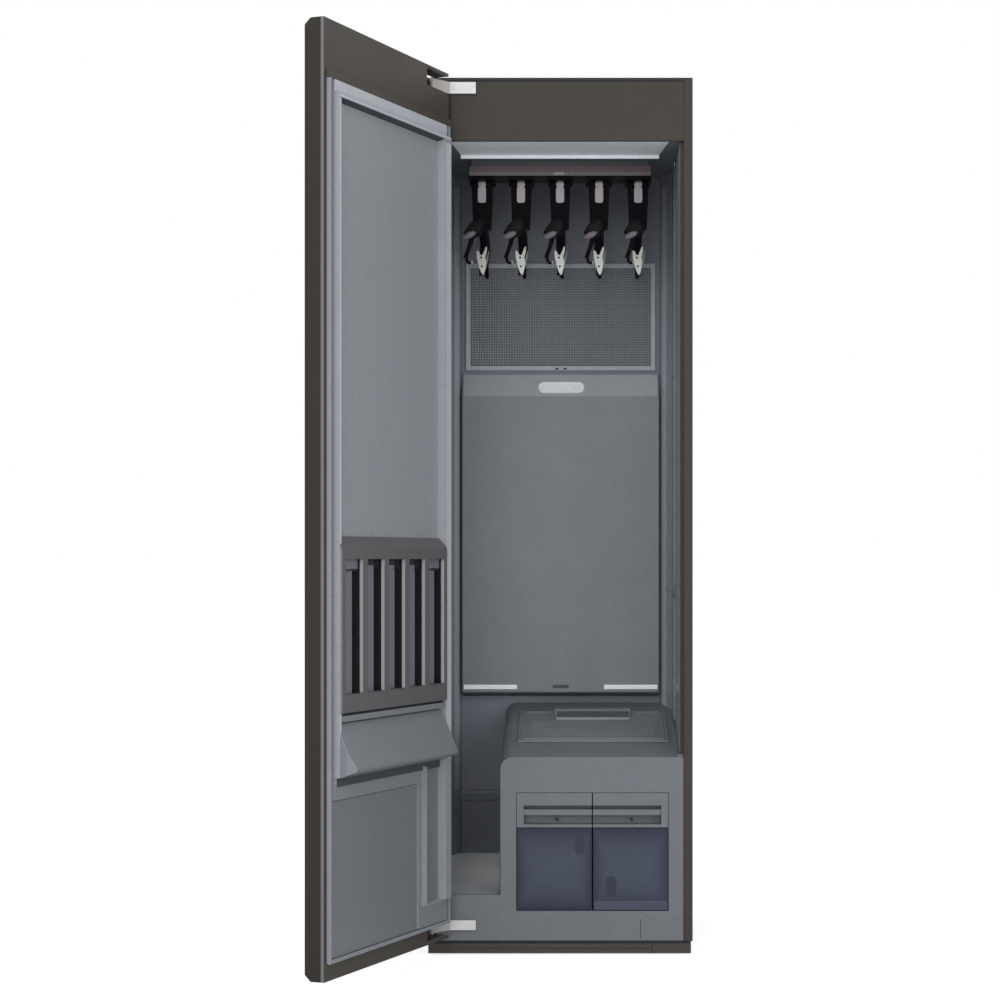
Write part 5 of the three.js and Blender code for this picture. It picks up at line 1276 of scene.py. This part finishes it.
    def clip(self, number: int, x: float) -> None:
        """Adds the bright front leaf of a clip, forked at its top, with its rear jaw and two dark domes, painted shade
        where the clip's holes show dark.

        Args:
            number: The hanger's number.
            x: Its place across.
        """
        body, front = f"clip_{number}", self.clip_front
        leaf = Shape(f"clip_leaf_{number}", body)
        for outline in self.leaf:
            leaf.prism([(x + px, pz) for px, pz in outline], Axis.Y, (front - 2.0, front), 0.15, 1)
        for side in self.ears:
            leaf.slab((x + side[0], x + side[1]), (front - 0.5, self.ear_rear), self.ear_z, 0.4)
        leaf.piece(CHROME, [f"clip_{number}"])
        jaw = Shape(f"clip_jaw_{number}", body)
        jaw.prism([(x + px, pz) for px, pz in self.jaw], Axis.Y, (front + 0.3, front + 1.8), 0.4).piece(CHROME_REAR)
        # Painted shade: dark domes where the clip's holes show dark.
        pin = Shape(f"clip_rivet_{number}", body)
        for px, pz in self.hole_shade_domes:
            pin.turned(self.hole_shade_dome, (x + px, front - 2.0, pz), 14)
        pin.piece(DEEP)


@dataclass
class MachineRoom:
    """The machine compartment: front, sloping top, filter, tanks, dress zone and what lies behind."""

    filter_corner: Point3 = (-96.0, 105.0, 466.34)
    filter_size: Point2 = (346.0, 292.0)
    filter_rise: Point2 = (68.0, 404.7)
    filter_top: float = 4.3
    highlight_x: Span = (86.0, 260.0)
    highlight_y: Span = (203.1, 212.1)
    cap_marks: tuple[tuple[str, Span], ...] = (("supply_tank", (-10.0, -2.0)), ("drain_tank", (157.0, 165.0)))
    float_y: Span = (1.75, 2.5)
    tub_edges: Edges = (
        ((-266.0, -136.0), 13.0, 134.1), ((-266.0, -136.0), 439.0, 165.1), ((-266.0, -136.0), 496.0, 165.1)
    )

    def build(self) -> None:
        """Dresses the compartment from outside to inside."""
        rounded("machine_front", MACHINE, 1.6, 3)
        rounded("machine_top", MACHINE_TOP, 1.2)
        rounded("lint_filter", FILTER, 1.2)
        dress("dress_zone_tub", TUB_SCREEN)
        rounded("tank_bay", SEAM, 0.6)
        for tank, finish in (("supply_tank", TANK), ("drain_tank", TANK_RIGHT)):
            rounded(tank, finish, 1.2)
            rounded(f"{tank}_cap", TANK_CAP, 1.0)
        self.filter_details()
        trim("front_seams", SEAM, ((180.5, 181.7), (1.75, 2.2), (36, 80)), ((-133.6, -132.4), (1.75, 2.2), (137, 219)))
        trim("front_tab", MACHINE, ((263, 277), (10.6, 14.5), (440, 447.2)), edge=1.0)
        self.tank_details()
        self.tub_details()
        self.machinery()

    def filter_details(self) -> None:
        """Adds the filter's ridge, its ribs and a pale bar on its handle, a painted highlight."""
        lean = Matrix.Rotation(math.atan2(*self.filter_rise), 4, "X")
        place = CABINET @ Matrix.Translation(self.filter_corner) @ lean
        (width, length), top = self.filter_size, self.filter_top
        outer = rectangle((9, width - 9), (9, length - 9), 8)
        inner = rectangle((15, width - 15), (15, length - 15), 5)
        ridge = Shape("filter_ridge", "filter", place)
        ridge.hoop(outer, inner, Axis.Z, (top - 0.2, top + 2.2), 0.8).piece(FILTER_RIDGE)
        rib = Shape("filter_rib", "filter", place).slab((30, width - 30), (28, 31), (top - 0.2, top + 1.3), 0.5)
        repeat("filter_ribs", rib, FILTER, 8, (0.0, 22.0, 0.0))
        # The handle's pale bar is a painted highlight.
        painted_highlight = Shape("filter_grip", "filter", place)
        painted_highlight.slab(self.highlight_x, self.highlight_y, (top - 0.2, top + 5.2), 1.2).piece(HANDLE_HIGHLIGHT)

    def tank_details(self) -> None:
        """Adds the cap marks, the float behind each tank's window and the drain tank's step."""
        for body, across in self.cap_marks:
            mark = rectangle(across, (299, 305), 2.5)
            Shape(f"{body}_mark", body).prism(mark, Axis.Y, (10.0, 12.0), 0.3).piece(SEAM)
        trim("drain_tank_step", TANK_STEP, ((77.5, 240.5), (1.65, 2.5), (101, 120.5)), edge=0.3, body="drain_tank")
        drain, supply = rectangle((104, 127), (128, 176), 11.0), rectangle((34, 56), (226, 268), 10.5)
        for body, outline in (("drain_tank", drain), ("supply_tank", supply)):
            Shape(f"{body}_float", body).prism(outline, Axis.Y, self.float_y).piece(TANK_SHADE)

    def tub_details(self) -> None:
        """Adds the tub's floor, painted pale as painted light, the screen of its recess and the lines of the ledge over
        it.
        """
        flat("tub_floor", TUB_FLOOR_PAINTED_LIGHT, self.tub_edges, 0.5)
        trim("tub_lines", TUB_SCREEN, ((-262, -137), (503.4, 504.4), (317, 321)),
             ((-262, -137), (503.4, 504.4), (293, 310)))
        trim("tub_screen", TUB_SCREEN, ((-241, -135), (496.4, 498.5), (165.4, 292.6)))
        ridge = Shape("tub_ridge").slab((-236, -140), (495.4, 496.8), (182, 185), 0.5)
        repeat("tub_ridges", ridge, TUB_SCREEN, 7, (0.0, 0.0, 15.0))

    def machinery(self) -> None:
        """Dresses what lies behind the front."""
        rounded("compressor", IRON, 0.8)
        rounded("heat_exchanger", ALUMINIUM, 0.2)
        rounded("blower_housing", DARK_PLASTIC, 0.5)
        dress("blower_impeller", ALUMINIUM)
        rounded("steam_generator", ALUMINIUM, 0.8)
        rounded("water_pump", DARK_PLASTIC, 0.6)
        rounded("control_board", BOARD, 0.4)
        rounded("air_duct", BACKING, 0.6)


@dataclass
class Hinges:
    """The two hinge arms with their screws. Each arm has a name, its plate's level and half its height."""

    plate_x: Span = (-253.0, -187.0)
    plate_y: float = -7.3
    arms: tuple[tuple[str, float, float], ...] = (("top", 1936.0, 12.6), ("bottom", 67.5, 10.6))
    screws_x: Point2 = (-236.0, -204.0)
    head: Profile = ((0.0, 0.1, 0.0), (4.2, 0.1, 0.0), (3.6, -0.5, 0.0), (2.0, -0.7, 0.0), (1.7, -0.35, 0.14),
                     (0.0, -0.3, 0.0))

    def build(self) -> None:
        """Dresses the arms and adds the pad under the lower one, their plates and their screws."""
        for name, _, _ in self.arms:
            rounded(f"hinge_arm_{name}", HINGE_ARM, 1.2, 3)
        trim("hinge_pad_bottom", NICKEL, (self.plate_x, (-0.5, 1.9), (57.0, 78.0)))
        for name, level, half in self.arms:
            depth = (self.plate_y - 0.3, self.plate_y + 0.1)
            trim(f"hinge_plate_{name}", NICKEL, (self.plate_x, depth, (level - half, level + half)))
            heads = Shape(f"hinge_screws_{name}")
            for x in self.screws_x:
                heads.turned(self.head, (x, self.plate_y, level))
            heads.piece(NICKEL)


@dataclass
class Door:
    """The door: skin, frame, core, liner, gasket, lower panel, trouser rack and tray."""

    windows: tuple[float, ...] = (174.0, 75.5, -23.0, -121.5, -220.0)
    slot: Span = (5.2, 38.8)
    slot_z: Span = (613.5, 864.0)
    window_z: Span = (613.0, 885.0)
    window_right: float = 60.0
    board: Span = (-5.0, 3.0)
    edge_y: Span = (7.4, 14.6)
    lip: float = 10.8
    shade_edges: Edges = (((-234.0, 254.0), 9.7, 1804.4), ((-234.0, 254.0), -7.0, 1799.5))
    flange_y: Span = (-1.35, -0.95)
    rim_y: Span = (9.8, 10.25)
    return_z: Span = (1840.5, 1856.0)

    def build(self) -> None:
        """Dresses the door from outside to inside."""
        # The skin's darker paint is painted shade on the door's free edge.
        rounded("door_panel", DOOR_SKIN_SHADE, 0.4)
        rounded("door_frame", DOOR_FRAME_PAINT_AND_SHADE, 0.6)
        dress("door_core", FOAM)
        rounded("door_liner", DOOR_LINER, 2.0, 3)
        rounded("door_gasket", GASKET, 1.2)
        # The lower panel's darker finish is painted shade.
        rounded("door_lower_panel", DOOR_LOWER_SHADE, 1.0)
        dress("rack_frame", RACK)
        dress("rack_back", RACK_PANEL)
        rounded("rack_tray", TRAY, 1.6)
        self.faces()
        self.slots()
        self.bars()
        trim("rack_base", TRAY, ((-228, 257), (-6, 12.5), (559, 571.5)), edge=1.0, body="door")
        trim("rack_base_shadow", SEAM, ((-228, 257), (-6, 8), (571.6, 576.8)), body="door")
        trim("tray_shadow", RECESS_SHADE, ((-226, 258), (-0.8, 1.7), (430, 447.6)), body="door")

    def faces(self) -> None:
        """Adds the shade of the recess's upper wall, the frame's top return, the rim's faces paler as painted light and
        the panel faces below the tray and the column's floor darker as painted shade.
        """
        flat("recess_shade", RECESS_SHADE, self.shade_edges, 0.6, "door")
        top, flange, rim = self.return_z, self.flange_y, self.rim_y
        trim("frame_top_return", DOOR_FRAME_PAINT_AND_SHADE, ((-289.0, 289.0), (-1.1, -0.5), top),
             ((287.9, 289.0), (-10.2, -1.1), top), body="door")
        # Painted light: paler faces on the rim.
        trim("rim_face", RIM_FACE_LIT, ((-267.5, -242.5), rim, (448, 1798)), ((261.0, 267.6), rim, (450, 1803.5)),
             ((-267.0, 267.0), rim, (1806.0, 1812.0)), ((-268.0, 268.0), flange, (1817.5, 1840.4)), body="door")
        # Painted shade: darker faces round the lower panel, below the tray, and on the column's floor.
        trim("lower_face", LOWER_FACE_SHADE, ((-136.4, 268), flange, (403, 436.4)),
             ((-136.4, -123.4), flange, (134.2, 403)), ((-268, -123.4), flange, (91, 134.2)), body="door")
        trim("column_floor", COLUMN_FLOOR_SHADE, ((-233.5, -148), (-7.5, -6.9), (141, 447)), body="door")

    def slots(self) -> None:
        """Adds dark sheets behind and beside the slots as painted shade, their lips and the shadows of the windows over
        them.
        """
        painted_shade, lips, shaded = (Shape(name, "door") for name in ("slot_lining", "slot_lips", "window_shadows"))
        (low, high), top = self.window_z, self.slot_z[1]
        rear, face = self.board
        front = (face - 0.2, face + 0.3)
        for left in self.windows:
            span, end = (left + self.slot[0], left + self.slot[1]), left + self.window_right
            painted_shade.slab(span, (rear, rear + 1.0), (low, top))
            painted_shade.slab((left + 0.7, span[0] + 0.1), front, (low + 0.5, top))
            if left in (self.windows[0], self.windows[-1]):
                shaded.slab((span[0], end), front, (top - 4.0, top))
            else:
                painted_shade.slab((left + 0.7, span[1] - self.lip), front, (top - 0.5, high - 0.7))
                shaded.slab((span[1] - self.lip, end), front, (top + 8, high - 0.7))
            for edge in (span[0] - 0.1, span[1] - 0.3):
                painted_shade.slab((edge, edge + 0.4), (rear, face + 0.2), self.slot_z)
            lips.slab((span[1] - self.lip, span[1] + 0.2), (face - 1.2, face + 0.3), self.slot_z)
        # Painted shade where the deep slots lie in shadow.
        painted_shade.piece(DEEP)
        lips.piece(RACK_PANEL)
        shaded.piece(SEAM)

    def bars(self) -> None:
        """Adds a pale strip on the face that each bar turns to the front and on the frame's free edge, as painted
        highlight, and a dark strip at each bar's root, as painted shade.
        """
        low, high = self.window_z
        edges = (((left - 0.2, left + 0.5), self.edge_y, (low + 1, high - 1)) for left in self.windows)
        # Painted highlight on each bar's front face.
        trim("bar_edges", RACK_EDGE_HIGHLIGHT, *edges, body="door")
        depth = (self.board[1], self.edge_y[0])
        root_shades = (((left - 0.2, left + 0.6), depth, self.window_z) for left in self.windows)
        # Painted shade at each bar's root.
        trim("bar_roots", DEEP, *root_shades, body="door")
        # Painted highlight on the frame's free edge.
        trim("rack_side_edge", RACK_SIDE_HIGHLIGHT, ((266.3, 266.9), (4, 14.5), (580, 906)), body="door")


def main() -> None:
    """Builds the studio and every sub-assembly in order."""
    logging.basicConfig(level=logging.INFO, format="%(message)s")
    parts = [Studio(), Shell(), Liner(), BackWall(), HangerSet(), MachineRoom(), Hinges(), Door()]
    for part in parts:
        part.build()
        LOG.info("built %s", type(part).__name__)


if __name__ == "__main__":
    main()
